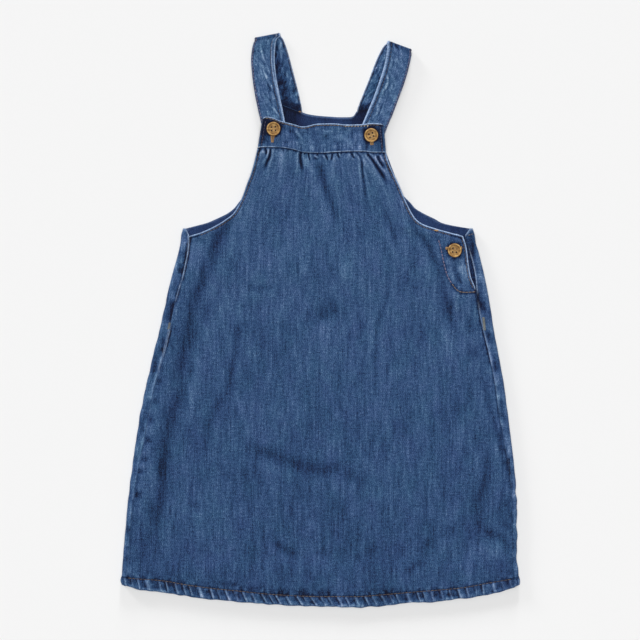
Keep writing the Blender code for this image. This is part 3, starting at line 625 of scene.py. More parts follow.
def creased(creases, across, up):
    """What creases do to the cloth: a trough with paler crests beside it, or a soft ridge."""
    made = relief(0 * across)
    for crease in creases:
        foot_width = crease.foot_width or crease.width
        line = through(crease.places)
        reach = 4 * max(crease.width, foot_width)
        xs, ys = zip(*line)
        near = ((across > min(xs) - reach) & (across < max(xs) + reach)
                & (up > min(ys) - reach) & (up < max(ys) + reach))
        if not near.any():
            continue
        gap, share = nearest(line, across[near], up[near])
        width = crease.width + (foot_width - crease.width) * share
        fade_out = crease.fade_out if crease.foot_width else crease.fade_in
        full = smooth(share / crease.fade_in) * smooth((1 - share) / fade_out)
        # The crests beside a trough get painted light, and the trough gets painted shade
        beside = (0.4 if crease.width < SHARP else 0.2) * bell(gap - 1.9 * width, width)
        height = min(1, max(-2, CREASE_HEIGHT * crease.shade))
        made[:, near] += full * relief(height * (bell(gap, width) - beside), 0,
                                       crease.shade * (bell(gap, 0.9 * width) - beside))
    return made


def turned_edge(gap, along, rubbed, row=EDGE_ROW, line=0.6):
    """An edge that is turned in and stitched, by the distance in from it and the place along it.

    It rolls down at the very edge, swells, sinks under the row of stitches and steps down where
    the turned-in cloth ends. A line along the edge is rubbed white, and the row is darker: dye stays
    in it, and it gets painted shade of its groove.
    """
    rope = waves(along, 0, 3.2, 1, 31)
    height = (-0.5 * (1 - smooth(gap / 0.8)) + 0.25 * bell(gap - 0.55 * row, 0.35 * row)
              - 0.4 * bell(gap - row, 0.7) + 0.3 * (1 - smooth((gap - row - 3) / 2)))
    return relief(height, rubbed * (0.85 + 0.6 * rope) * bell(gap - 0.7 * line, line),
                  -1.7 * bell(gap - row, 0.85) + 0.4 * rope * bell(gap - row - 2, 2.5))


# ------------------------------------------------------------------------------------ materials


def colour(code):
    """An sRGB hex colour as linear light."""
    parts = [int(code[k:k + 2], 16) / 255 for k in (1, 3, 5)]
    return [part / 12.92 if part <= 0.04045 else ((part + 0.055) / 1.055) ** 2.4
            for part in parts] + [1]


def add(tree, kind, settings, inputs):
    """A node with its settings. An input, named or numbered, takes a value or an output."""
    made = tree.nodes.new(kind)
    for name, value in settings.items():
        setattr(made, name, value)
    for name, value in inputs.items():
        if isinstance(value, bpy.types.NodeSocket):
            tree.links.new(value, made.inputs[name])
        else:
            made.inputs[name].default_value = value
    return made


def new_material(name, roughness, **constants):
    """A new material, its node tree and its Principled shader."""
    made = bpy.data.materials.new(name)
    made.use_nodes = True
    shader = made.node_tree.nodes["Principled BSDF"]
    shader.inputs["Roughness"].default_value = roughness
    for socket, value in constants.items():
        shader.inputs[socket.replace("_", " ")].default_value = value
    return made, made.node_tree, shader


def surface(tree, shader, base, bumps, strength, depth):
    """Gives a shader its colour and its bumps, with their depth in millimetres."""
    bump = add(tree, "ShaderNodeBump", {}, {"Strength": strength, "Distance": depth * MM,
                                            "Height": bumps})
    tree.links.new(base, shader.inputs["Base Color"])
    tree.links.new(bump.outputs["Normal"], shader.inputs["Normal"])


def pattern(tree, place, size, detail=2, roughness=0.5):
    """Noise whose grains have a size in millimetres along each direction."""
    scale = [1 / (length * MM) for length in size]
    grain = add(tree, "ShaderNodeMapping", {}, {"Vector": place, "Scale": scale})
    return add(tree, "ShaderNodeTexNoise", {}, {
        "Vector": grain.outputs["Vector"], "Scale": 1, "Detail": detail,
        "Roughness": roughness}).outputs["Fac"]


def weighted(tree, terms, total, middle=0.5):
    """A total with each value's offset from the middle added, times a weight."""
    for value, weight in terms:
        off = add(tree, "ShaderNodeMath", {"operation": "SUBTRACT"}, {0: value, 1: middle})
        total = add(tree, "ShaderNodeMath", {"operation": "MULTIPLY_ADD"},
                    {0: off.outputs[0], 1: weight, 2: total}).outputs[0]
    return total


def ramp(tree, value, stops):
    """Colours along a value. The stops may run past 1."""
    top = max(1, stops[-1][0])
    share = add(tree, "ShaderNodeMath", {"operation": "DIVIDE"}, {0: value, 1: top})
    made = add(tree, "ShaderNodeValToRGB", {}, {"Fac": share.outputs[0]})
    elements = made.color_ramp.elements
    while len(elements) < len(stops):
        elements.new(0.5)
    for element, (position, code) in zip(elements, stops):
        element.position = position / top
        element.color = colour(code)
    return made.outputs["Color"]


# What the eye sees in the cloth: the size of each mark across and along it, its detail and its
# roughness, and how much it tells in the colour. A warp thread is really 0.4 mm wide and a weft
# thread 0.5 mm, and both are drawn over 1 mm wide, so that they show.
Mark = namedtuple("Mark", "across along detail roughness weight")
MARKS = {
    "threads": Mark(1.1, 20, 2, 0.5, 0.62), "strands": Mark(2.4, 34, 1, 0.5, 0.32),
    "slubs": Mark(6, 44, 2, 0.5, 0.33), "weft": Mark(9, 1.2, 1, 0.5, 0.25),
    "flecks": Mark(2.4, 2.6, 1, 0.5, 0.5), "grain": Mark(1, 1.1, 1, 0.5, 0.95),
    "blotches": Mark(9, 14, 3, 0.6, 0.25),
}
# The twill's wale is really 0.9 mm apart and is drawn wider, so that it shows
WALE = 1.8
# The wave texture's scale at which it has one band to a unit
WAVE = 2 * pi / 20


def denim(name, stops, white, seed, contrast):
    """Stone-washed warp-faced denim: indigo warp over pale weft.

    The eye sees warp threads as fine streaks along the cloth, slubs and wash marks as blotches,
    and the twill as a grain. The dye is a little redder in places.
    """
    made, tree, shader = new_material(name, 0.95, Specular_IOR_Level=0.12, Sheen_Weight=0.05,
                                      Sheen_Roughness=0.6)
    cloth, worn, shade = [
        add(tree, "ShaderNodeAttribute", {"attribute_name": label}, {}).outputs[output]
        for label, output in (("cloth", "Vector"), ("worn", "Fac"), ("shade", "Fac"))]
    place = add(tree, "ShaderNodeMapping", {}, {
        "Vector": cloth, "Location": (seed, seed * 0.7, seed * 0.3)}).outputs["Vector"]
    marks = {label: pattern(tree, place, (mark.across, mark.along, 1), mark.detail,
                            mark.roughness) for label, mark in MARKS.items()}
    turned = add(tree, "ShaderNodeMapping", {}, {
        "Vector": place, "Rotation": (0, 0, radians(-63)), "Scale": (1 / MM,) * 3})
    twill = add(tree, "ShaderNodeTexWave", {"bands_direction": "Y"}, {
        "Vector": turned.outputs["Vector"], "Scale": WAVE / WALE, "Distortion": 2.2,
        "Detail": 2, "Detail Scale": 0.35}).outputs["Fac"]
    cloud = pattern(tree, place, (40, 70, 1))
    terms = [(marks[label], mark.weight * contrast) for label, mark in MARKS.items()]
    tone = weighted(tree, terms + [(cloud, 0.28), (twill, 0.09)],
                    weighted(tree, [(shade, 0.25)], 0.5, 0))
    tint = ramp(tree, pattern(tree, place, (24, 36, 1), 4, 0.65),
                [(0.3, "#E9F5F3"), (0.7, "#F9EDF9")])
    tinted = add(tree, "ShaderNodeMix", {"data_type": "RGBA", "blend_type": "MULTIPLY"},
                 {0: 1, 6: ramp(tree, tone, stops), 7: tint}).outputs[2]
    thready = weighted(tree, [(marks["grain"], 2.2), (marks["threads"], 1.4)], 0)
    rubbed = add(tree, "ShaderNodeMath", {"operation": "MULTIPLY_ADD", "use_clamp": True},
                 {0: thready, 1: worn, 2: worn}).outputs[0]
    mixed = add(tree, "ShaderNodeMix", {"data_type": "RGBA"},
                {0: rubbed, 6: tinted, 7: colour(white)}).outputs[2]
    weave = weighted(tree, [(twill, 0.5), (marks["grain"], 1.2), (marks["flecks"], 0.5),
                            (marks["threads"], 0.6)], 0.5)
    surface(tree, shader, mixed, weave, 0.6, 0.4)
    return made


def thread(name, dark, light):
    """Spun polyester topstitching thread: two twisted plies, with a soft shine.

    A ply is really 0.3 mm thick and is drawn 0.7 mm thick, so that it shows.
    """
    made, tree, shader = new_material(name, 0.7, Sheen_Weight=0.1)
    place = add(tree, "ShaderNodeTexCoord", {}, {}).outputs["Object"]
    plies = pattern(tree, place, (0.7, 0.7, 0.5))
    faded = pattern(tree, place, (14, 14, 5))
    tone = weighted(tree, [(plies, 0.9), (faded, 1.4)], 0.5)
    surface(tree, shader, ramp(tree, tone, [(0.1, dark), (0.9, light)]), plies, 0.4, 0.2)
    return made


def button_wood(name):
    """Turned and waxed wood: fine growth lines across the button and a low gloss."""
    made, tree, shader = new_material(name, 0.6, Specular_IOR_Level=0.2)
    place = add(tree, "ShaderNodeTexCoord", {}, {}).outputs["Object"]
    rings = pattern(tree, place, (6, 0.9, 2), 3, 0.6)
    blotches = pattern(tree, place, (4, 3, 3))
    pores = pattern(tree, place, (1, 0.4, 0.6), 1)
    # Painted light and shade from the mesh: paler on the rim, darker in the groove and on the lower
    # wall
    polish = add(tree, "ShaderNodeAttribute", {"attribute_name": "polish"}, {}).outputs["Fac"]
    tone = weighted(tree, [(rings, 0.8), (blotches, 1), (pores, 0.5)],
                    weighted(tree, [(polish, 0.8)], 0.55, 0))
    surface(tree, shader, ramp(tree, tone, [(0.1, "#54371D"), (0.5, "#96703F"), (0.9, "#C9A66C")]),
            rings, 0.25, 0.1)
    return made


INDIGO = [(0, "#10172F"), (0.25, "#1E3558"), (0.5, "#304E75"), (0.75, "#4A688D"),
          (1, "#6E8BAC"), (1.25, "#9CB0CC")]
NAVY = [(0, "#0B1228"), (0.25, "#182647"), (0.5, "#24395F"), (0.75, "#334D78"),
        (1, "#4A6189")]
CLOTHS = {"washed_denim": denim("washed_denim", INDIGO, "#A9C1E4", 0, 1),
          "navy_twill": denim("navy_twill", NAVY, "#7F95B8", 3, 0.5)}
brown_thread = thread("brown_thread", "#4C4446", "#8E7D6E")
cream_thread = thread("cream_thread", "#8E8577", "#D8CFBE")
faded_thread = thread("faded_thread", "#474460", "#857E98")
grey_thread = thread("grey_thread", "#4A4D4C", "#8A8C84")
dark_thread = thread("dark_thread", "#25293B", "#4C4A5A")
tan_thread = thread("tan_thread", "#7A5A38", "#C09A68")
waxed_wood = button_wood("waxed_wood")


# --------------------------------------------------------------------------------- making cloth


def grid_numbers(mesh, columns, rows):
    """The column and row number of each corner of a grid of size 1."""
    flat = np.array([corner.co for corner in mesh.verts], float)
    return (flat[:, 0] + 0.5) * columns, (flat[:, 1] + 0.5) * rows


def cloth_grid(columns, rows):
    """A flat grid, and the column and row number of each of its corners."""
    mesh = bmesh.new()
    bmesh.ops.create_grid(mesh, x_segments=columns, y_segments=rows, size=0.5)
    column, row = grid_numbers(mesh, columns, rows)
    return mesh, np.rint(column).astype(int), np.rint(row).astype(int)


def put(name, data):
    """An object of the scene."""
    made = bpy.data.objects.new(name, data)
    bpy.context.scene.collection.objects.link(made)
    return made


def finish(name, mesh, finishes):
    """A piece from a mesh in millimetres, riding on the dress."""
    bmesh.ops.scale(mesh, vec=(MM, MM, MM), verts=mesh.verts)
    data = bpy.data.meshes.new(name)
    mesh.to_mesh(data)
    mesh.free()
    for material in finishes:
        data.materials.append(material)
    data.shade_smooth()
    piece = put(name, data)
    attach(piece, "root")
    return piece


def finish_cloth(name, node, slot, mesh, across, up, look, weave, wall, shares=None):
    """A piece of cloth from its grid, each corner's place, its looks and its place in the weave.

    The grid is the outer face, and Solidify gives it its wall. Where each corner has its own
    share of the wall, the grid is the middle of the cloth.
    """
    for corner, place in zip(mesh.verts, zip(across, up, look[HEIGHT])):
        corner.co = place
    mesh.normal_update()
    piece = finish(name, mesh, [CLOTHS[slot]])
    attributes = piece.data.attributes
    for label, values in (("worn", look[WORN]), ("shade", look[SHADE])):
        attributes.new(label, "FLOAT", "POINT").data.foreach_set(
            "value", values.astype(np.float32))
    woven = np.stack(np.broadcast_arrays(*weave), axis=1) * MM
    attributes.new("cloth", "FLOAT_VECTOR", "POINT").data.foreach_set(
        "vector", woven.astype(np.float32).ravel())
    solid = piece.modifiers.new("wall", "SOLIDIFY")
    solid.thickness = wall * MM
    solid.offset = -1
    rim = piece.modifiers.new("rim", "BEVEL")
    rim.width = RIM * wall * MM
    rim.segments = 2
    rim.limit_method = "ANGLE"
    rim.angle_limit = radians(RIM_ANGLE)
    if shares is not None:
        group = piece.vertex_groups.new(name="wall")
        for index, share in enumerate(shares):
            group.add([index], float(share), "REPLACE")
        solid.vertex_group = group.name
        solid.offset = 0
    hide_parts(node)
    return piece


# ------------------------------------------------------------------------------------- the front


def band_underside(across):
    """The band lies over the two straps and sinks between and beside them."""
    near = np.minimum(abs(across - STRAP_PLACES[0]), abs(across - STRAP_PLACES[1]))
    high = 1 - smooth((near - STRAP_HALF) / BAND_FALL)
    return BAND_BETWEEN + (BAND_ON_STRAP - BAND_BETWEEN) * high


def hanging(up):
    """The share of the hem's curve that a row takes on: all at the hem, none at the underarm."""
    return np.clip((UNDERARM_FRONT - up) / (UNDERARM_FRONT - HEM_SIDE), 0, 1) ** 1.5


def front_edge(name, up):
    """The left or right edge of the front, at heights up the dress."""
    seam = side["left_seam"](up) + SIDE_GAP if name == "left" else side["right_front"](up)
    return np.where(up < UNDERARM_FRONT, seam, front_armhole[name](up))


def edge_line(name, low, high, step=1):
    """An edge of the front as points."""
    ups = np.arange(low, high + step / 2, step)
    return [Vector(place) for place in zip(front_edge(name, ups), ups)]


ARMHOLE_LINES = [edge_line("left", UNDERARM_FRONT, 171), edge_line("right", UNDERARM_FRONT, 168)]
OPENING_LINE = edge_line("right", OPENING_FOOT, UNDERARM_FRONT)
SEAM_LINES = [edge_line("left", HEM_SIDE, UNDERARM_FRONT, 4),
              edge_line("right", HEM_SIDE, OPENING_FOOT, 4)]
# The edge of the placket, and the point of it from which it runs to the side seam
PLACKET = through([(118.2, 80.2), (120.7, 70.2), (123.2, 58.2), (126.7, 45.2), (131.7, 36.2),
                   (137.7, 29.4), (144.7, 27.8), (155, 28.4)])
PLACKET_TURN = 24
# About how long these lines are
ARMHOLE_LENGTH = 120
OPENING_LENGTH = 52
PLACKET_LENGTH = 64
SEAM_LENGTH = 330


def hem_rope(across, up):
    """The twisted hem: narrow slanting ridges, each with a dark hollow beside it."""
    from_edge, above_row = up - hem_edge(across), up - hem_stitches(across)
    depth = hem_stitches(across) - hem_edge(across)
    slid = across - hem_slant(across) * (1 - from_edge / depth)
    turns = slid / TWIST + 0.5 * waves(slid, 0, 17, 1, 5)
    beside = (turns + 0.5) % 1 - 0.5
    strength = np.clip(1.05 + 1.2 * waves(across, 0, 8, 1, 8), 0.5, 1.6)
    strength *= hem_twist(across)
    strength *= smooth(from_edge / 2.2) * (1 - smooth((from_edge - depth + 1.4) / 1.6))
    ridge = strength * bell(beside, 0.1)
    hollow = strength * bell(beside + 0.2, 0.13)
    groove = bell(above_row, 1)
    within = smooth(from_edge / 0.8) * (1 - smooth((from_edge - depth) / 1.5))
    blot = waves(across, up, 4, 3.5, 11)
    above = waves(across, up, 3.4, 7, 12) - 0.1
    height = 0.6 * ridge - 0.5 * hollow - 0.6 * groove - 0.8 * (1 - smooth(from_edge / 1.6))
    # The ridges get painted light, and the hollows and the stitch row's groove painted shadow; the
    # hem is paler towards its edge, partly worn and partly painted light on its rolled edge
    shade = (1.7 * ridge - 1.4 * hollow + 1.3 * blot * within - 1.25 * groove
             + within * (1.15 * bell(from_edge - 0.4, 3.2) - 0.25)
             + 1.6 * np.maximum(blot, 0) * bell(from_edge - 1.6, 1.2)
             + 2 * above * bell(above_row - 2.5, 3))
    return relief(height, 0.12 * ridge, shade)


def scallop(across, up):
    """How far the twists of the hem pull its edge down."""
    pull = waves(across - hem_slant(across), 0, 8, 1, 5.5)
    return 0.9 * pull * (1 - smooth((up - hem_edge(across)) / 6))


def puckers(gap, along, size, reach, seed):
    """Short puckers that a tight seam draws in the cloth beside it."""
    wave = waves(along, gap, size, 14, seed) + 0.5 * waves(along, gap, size / 2.3, 9, seed + 1)
    wave *= bell(gap, reach)
    # Their shade goes with their height: partly the wash, and partly painted shade in the hollows
    # and painted light on the crests
    return relief(0.55 * wave, 0, 1.6 * wave)


def button_hollow_and_shadow(node, across, up):
    """A shallow hollow that a button presses in the cloth under its rim, with a painted shadow round
    the rim and painted shade under the button, which darkens its holes.
    """
    low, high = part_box(node)
    middle = (low + high) / 2 / MM
    gap = np.hypot(across - middle.x, up - middle.y) - BUTTON_RADIUS
    ring = 2.2 * bell(gap - 0.3, 1.2) + 0.4 * bell(gap - 1, 3)
    return relief(-0.2 * bell(gap, 1.2), 0, -ring - 3 * smooth(-gap - 2))


def front_look(across, up):
    """The height, wear and shade of the front's outer face."""
    middle = lie["middle"](up)
    height = middle
    for name, from_edge in (("left", across - front_edge("left", up)),
                            ("right", front_edge("right", up) - across)):
        inward = smooth((from_edge - lie[name + "_flat"](up)) / lie[name + "_fall"](up))
        height = height + (lie[name](up) - middle) * (1 - inward)
    below_band = band_foot(across) - up
    seam = band_underside(across) + 1.2
    look = relief(height + (seam - height) * smooth(1 - below_band / BAND_LIFT))
    look += creased(GATHERS + CREASES + HEM_CREASES, across, up)
    swell = waves(across, up, 26, 60, 2)
    ripple = waves(across, up, 9, 42, 3)
    look += relief(0.22 * swell + 0.08 * ripple, 0,
                   0.2 * swell + 0.2 * ripple + 0.0013 * (up + 90))
    # By the band the gathers crimp the cloth, with painted shade in their hollows and painted light
    # on their crests; the gathered strip is a little paler, and a line of painted shadow lies under
    # the band's foot
    gathered = bell(below_band, 7)
    crimp = waves(across, 0.3 * up, 2.1, 5, 4) * gathered
    look += relief(0.4 * crimp, 0,
                   1.3 * crimp + 0.35 * gathered - 2.6 * bell(below_band - 0.5, 1))
    for line, top_rub, low_rub in zip(ARMHOLE_LINES, (0.15, 0.75), (0.6, 0.9)):
        gap, along = nearest(line, across, up)
        rub = top_rub + (low_rub - top_rub) * smooth((125 - up) / 20)
        look += turned_edge(gap, along * ARMHOLE_LENGTH, rub)
        look += puckers(gap, along * ARMHOLE_LENGTH, 5, 6, 6) * 0.45
    gap, along = nearest(OPENING_LINE, across, up)
    look += turned_edge(gap, along * OPENING_LENGTH, 1.05)
    look += puckers(gap, along * OPENING_LENGTH, 5, 9, 7) * 0.5
    gap, along = nearest(PLACKET, across, up)
    foot = smooth((44 - up) / 10)
    # Painted shadow along the placket's stitched edge, deeper towards its foot; inside the placket
    # the front is paler and mottled
    look[SHADE] -= (1.3 + 0.9 * foot) * bell(gap, 1.4 + 0.4 * foot)
    look += puckers(gap, along * PLACKET_LENGTH, 5, 4, 7.5) * 0.5
    look[SHADE] += bell(across - 137, 13) * bell(up - 54, 24) * (
        0.5 + 1.5 * waves(across, up, 3, 4, 7.8) + 0.9 * waves(across, up, 7, 9, 7.9))
    for name, line, seed, place in zip(("left", "right"), SEAM_LINES, (9, 10), (1.9, 0.9)):
        gap, along = nearest(line, across, up)
        sunk = seams[name + "_sunk"](up)
        look += puckers(gap, along * SEAM_LENGTH, 9, 6, seed) * 0.6
        look[HEIGHT] -= 0.35 * (1 - smooth(gap / 0.8))
        # Beside the seam the front is darkened with painted shadow, as much as SEAMS gives, and the
        # very edge gets painted light where that shadow is weak
        look[SHADE] += (0.8 * np.maximum(1 - sunk, 0) * bell(gap, 0.8)
                        - 1.7 * sunk * bell(gap - place, 1))
        rope = 0.85 + 1.2 * waves(across, up, 3, 4, 19)
        if name == "left":
            look[WORN] += seams["left_edge"](up) * rope * bell(gap - 0.5, 0.7)
    look += hem_rope(across, up) + button_hollow_and_shadow("button_side", across, up)
    lowest = np.where(up > FACING_FOOT - 4, FACING_TOP, DENIM)
    over_stand = (across > side["right_back"](up) - STAND_WIDTH - 2) & (up > OPENING_FOOT)
    lowest[over_stand & (up < UNDERARM_FRONT + 4)] = STAND_TOP
    look[HEIGHT] = np.maximum(look[HEIGHT], lowest + DENIM + CLEAR)
    return look


# Distances in from an edge at which the columns near it run
EDGE_STEPS = np.array([0, 0.4, 0.8, 1.3, 1.9, 2.5, 3.1, 3.8, 4.8, 6.2])


def across_steps(left, right, columns, column, slant):
    """Places across a row, close together near its two ends."""
    near = len(EDGE_STEPS) - 1
    reach = EDGE_STEPS[-1] * slant
    share = np.clip((column - near) / (columns - 2 * near), 0, 1)
    place = left + reach + (right - left - 2 * reach) * share
    from_left, from_right = [np.interp(count, np.arange(near + 1), EDGE_STEPS) * slant
                             for count in (column, columns - column)]
    place = np.where(column < near, left + from_left, place)
    return np.where(column > columns - near, right - from_right, place)


def band_shift(start, across):
    """How far a row of the front moves up towards the band's foot at a place across it."""
    to_band = smooth((start - UNDERARM_FRONT) / (FRONT_TOP - UNDERARM_FRONT))
    return (band_foot(across) - SEAM_GAP - FRONT_TOP) * to_band


def front_panel():
    """The front, with finer rows at the hem, the underarms and the gathers."""
    hem_rows = HEM_SIDE + np.arange(0, 13.7, 0.8)
    rows = np.concatenate([
        hem_rows, np.arange(HEM_SIDE + 14.4, 78, 2.4), np.arange(78.5, 104, 1),
        np.arange(105.2, 150, 2), np.arange(150.6, FRONT_TOP, 0.85), [FRONT_TOP]])
    columns = 160
    mesh = cloth_grid(columns, len(rows) - 1)[0]
    hem_top = (len(hem_rows) - 0.5) / (len(rows) - 1) - 0.5
    level = [edge for edge in mesh.edges
             if edge.verts[0].co.y == edge.verts[1].co.y and edge.verts[0].co.y < hem_top]
    bmesh.ops.subdivide_edges(mesh, edges=level, cuts=2, use_grid_fill=True)
    column, row = grid_numbers(mesh, columns, len(rows) - 1)
    start = np.interp(row, np.arange(len(rows)), rows)
    left, right = front_edge("left", start), front_edge("right", start)
    for _ in range(3):
        left = front_edge("left", start + band_shift(start, left))
        right = front_edge("right", start + band_shift(start, right))
    across = across_steps(left, right, columns, column, 1 + 2 * bell(start - 91, 9))
    up = start + hanging(start) * (hem_edge(across) - HEM_SIDE) + band_shift(start, across)
    up -= scallop(across, up)
    weave = (across * (1 + 0.3 * bell(FRONT_TOP - start, 40)), up, 0)
    piece = finish_cloth("front_cloth", "front_panel", "washed_denim", mesh, across, up,
                         front_look(across, up), weave, DENIM)


# -------------------------------------------------------------------------------------- the back


def corner_drop(up):
    """How far the back's seam edge hangs below its fold, near the top of the sides."""
    return BACK_CORNER_DROP * smooth(1 - (UNDERARM_BACK - up) / CORNER_REACH)


def back_level(across, up, inset):
    """The height up the dress of a place on the back's flat part."""
    level = up + hanging(up) * (hem_edge(across) + BACK_HEM_SHORTER - HEM_SIDE)
    top = BACK_ARMHOLES[-1].up
    to_neck = smooth((up - UNDERARM_BACK) / (top - UNDERARM_BACK))
    return level + (neck_edge(across) - inset - top) * to_neck


def back_edges(up):
    """The ends of the back's flat part."""
    return [np.where(up <= UNDERARM_BACK, side[name + "_fold"](up) + inward * SIDE_RADIUS,
                     back_armhole[name](up)) for name, inward in (("left", 1), ("right", -1))]


def back_panel():
    """The back, with the strips of it that come round both sides and lie on the front's side."""
    strip, roll, floor = 9, 8, 84
    columns = 2 * (strip + roll) + floor
    side_rows = np.concatenate([HEM_SIDE + np.arange(0, 14, 1.2),
                                np.arange(HEM_SIDE + 15, 90, 2.4), [UNDERARM_BACK]])
    rows = np.concatenate([side_rows, np.arange(92.6, 112, 1.2), np.arange(113.5, 206, 3),
                           [206]])
    mesh, column, row = cloth_grid(columns, len(rows) - 1)
    start = rows[row]
    left, right = back_edges(start)
    on_left = column < strip + roll
    on_floor = ~on_left & (column <= columns - strip - roll)

    def by_side(at_left, at_right):
        return np.where(on_left, at_left, at_right)

    edge, inward = by_side(left, right), by_side(1, -1)
    seam = by_side(side["left_seam"](start), side["right_back"](start))
    count = by_side(strip + roll - column, column - (columns - strip - roll))
    turn = np.clip(count / roll, 0, 1) * pi
    along = np.clip((count - roll) / strip, 0, 1)
    bulge = waves(0, start, 1, 11, 20)
    bulge *= by_side(0.6, 0.2 + 2.2 * smooth((-150 - start) / 30))
    share = np.clip((column - strip - roll) / floor, 0, 1)
    across = np.where(on_floor, left + (right - left) * share,
                      edge - inward * (SIDE_RADIUS + bulge) * np.sin(turn) + (seam - edge) * along)
    up = np.where(on_floor, back_level(across, start, 0), start - corner_drop(start) * along
                  + hanging(start) * (hem_edge(across) - HEM_SIDE))
    # How white the back's seam edge is rubbed, how much painted shadow lies beside the seam, and how
    # pale the back is there
    rub, sunk, pale = [by_side(seams["left_" + name](start), seams["right_" + name](start))
                       for name in ("rub", "sunk", "pale")]
    blot = waves(across, up, 6, 12, 15)
    grain = 0.75 + 0.9 * waves(across, up, 2, 4.5, 16)
    soft = 0.9 + 0.9 * waves(across, up, 3, 9, 18)
    from_seam, from_top = abs(across - seam), UNDERARM_BACK - start
    from_fold = abs(across - by_side(side["left_fold"](start), side["right_fold"](start)))
    bright = by_side(seams["fold_pale"](start), 0.3 * smooth((start + 190) / 40))
    bright = bright * (1 + 0.6 * blot) * bell(from_fold - 1.5, 3.2)
    beside = 1.2 + by_side(0, 1.6 * smooth((-90 - start) / 40))
    on_top = ~on_floor & (count > roll / 2)
    look = relief(np.where(on_floor, 0, SIDE_RADIUS * (1 - np.cos(turn))))
    look += on_top * (
        puckers(from_seam, up, 9, 8, 14) * np.clip(along * 2 + 0.4, 0, 1)
        + relief(0.25 * blot + 0.3 * bell(from_seam, 1.2) - 0.3 * bell(from_top, 0.8),
                 rub * grain * bell(from_seam - 0.5, 0.6) + 0.75 * bell(from_top - 0.6, 0.9),
                 1.2 * blot + 0.1 + bright + 1.2 * pale * soft * bell(from_seam - beside, 1.3)
                 - 1.3 * sunk * (1 - rub) * (1 - pale) * bell(from_seam - 0.6, 1))
        + creased(SIDE_CREASES, across, up)
        + hem_rope(across, up) * np.array([[0.5], [1], [1]]))
    lift = 0.35 * np.maximum(0, waves(across, up, 30, 70, 17))
    look += on_floor * lift * relief(smooth((start - HEM_SIDE) / 20), 0, 1)
    kept = on_floor | (row < len(side_rows))
    gone = [corner for corner, keep in zip(list(mesh.verts), kept) if not keep]
    bmesh.ops.delete(mesh, geom=gone, context="VERTS")
    bmesh.ops.reverse_faces(mesh, faces=mesh.faces)
    weave = ((across + SIDE_WEAVE * on_top)[kept], up[kept], 0)
    piece = finish_cloth("back_cloth", "back_panel", "washed_denim", mesh, across[kept], up[kept],
                         look[:, kept], weave, DENIM)


def back_facing():
    """The navy facing inside the neck and the armholes."""
    rows = np.concatenate([[FACING_FOOT, 66, 74, 82, 88], np.arange(91.7, 112, 1.2),
                           np.arange(113.5, 190, 3), np.arange(191, 206), [206]])
    columns = 96
    mesh, column, row = cloth_grid(columns, len(rows) - 1)
    start = rows[row]
    left, right = back_edges(start)
    slant = 1 + 1.6 * bell(start - 96, 9)
    across = across_steps(left + FACING_INSET, right - FACING_INSET, columns, column, slant)
    up = back_level(across, start, FACING_INSET)
    neck = neck_edge(across) - FACING_INSET - up
    gap = np.minimum(across - left, right - across) / slant - FACING_INSET
    open_neck = smooth((across + 22) / 4) * smooth((40 - across) / 4)
    by_strap = smooth((-4 - across) / 28) + smooth((across - 26) / 16)
    # Painted shade darkens the facing near the straps at the neck and along its rim under the
    # straps' ends; its stitch row is darker too
    look = relief(
        FACING_TOP - 0.4 * open_neck * (1 - smooth(neck / 1.2)) - 0.4 * (1 - smooth(gap / 1.2)),
        0.35 * open_neck * bell(neck, 0.6) + 0.15 * bell(gap, 0.7),
        0.6 * waves(across, up, 12, 18, 21) - 0.5 * bell(neck - EDGE_ROW, 0.8)
        - 3 * (1 - open_neck) * bell(neck, 1.2) - 1.6 * by_strap * smooth((up - 176) / 14))
    piece = finish_cloth("facing_cloth", "back_facing", "navy_twill", mesh, across, up, look,
                         (across, up, FACING_WEAVE), FACING)


def side_underlap():
    """The button stand runs beside the back's seam edge and under the front."""
    rows = np.concatenate([np.arange(OPENING_FOOT, UNDERARM_BACK, 1.5), [UNDERARM_BACK]])
    columns = 16
    mesh, column, row = cloth_grid(columns, len(rows) - 1)
    start = rows[row]
    inner = 1 - column / columns
    across = side["right_back"](start) - SEAM_GAP - STAND_WIDTH * inner
    up = np.minimum(start - corner_drop(start), STAND_HEAD)
    # The stand is darkened all over with painted shade, as it lies in the gap under the front's edge
    look = relief(STAND_TOP - STAND_TUCK * inner, 0, -1.4)
    piece = finish_cloth("stand_cloth", "side_underlap", "washed_denim", mesh, across, up, look,
                         (across, up, STAND_WEAVE), STAND)


# -------------------------------------------------------------------------------------- the band


def straight_edge(column):
    """The place across of a straight edge, at heights up the dress."""
    lean = (column.top_across - column.foot_across) / (column.top_up - column.foot_up)
    return lambda up: column.foot_across + lean * (up - column.foot_up)


BAND_LEFT, BAND_RIGHT = straight_edge(BAND_COLUMNS[0]), straight_edge(BAND_COLUMNS[-1])


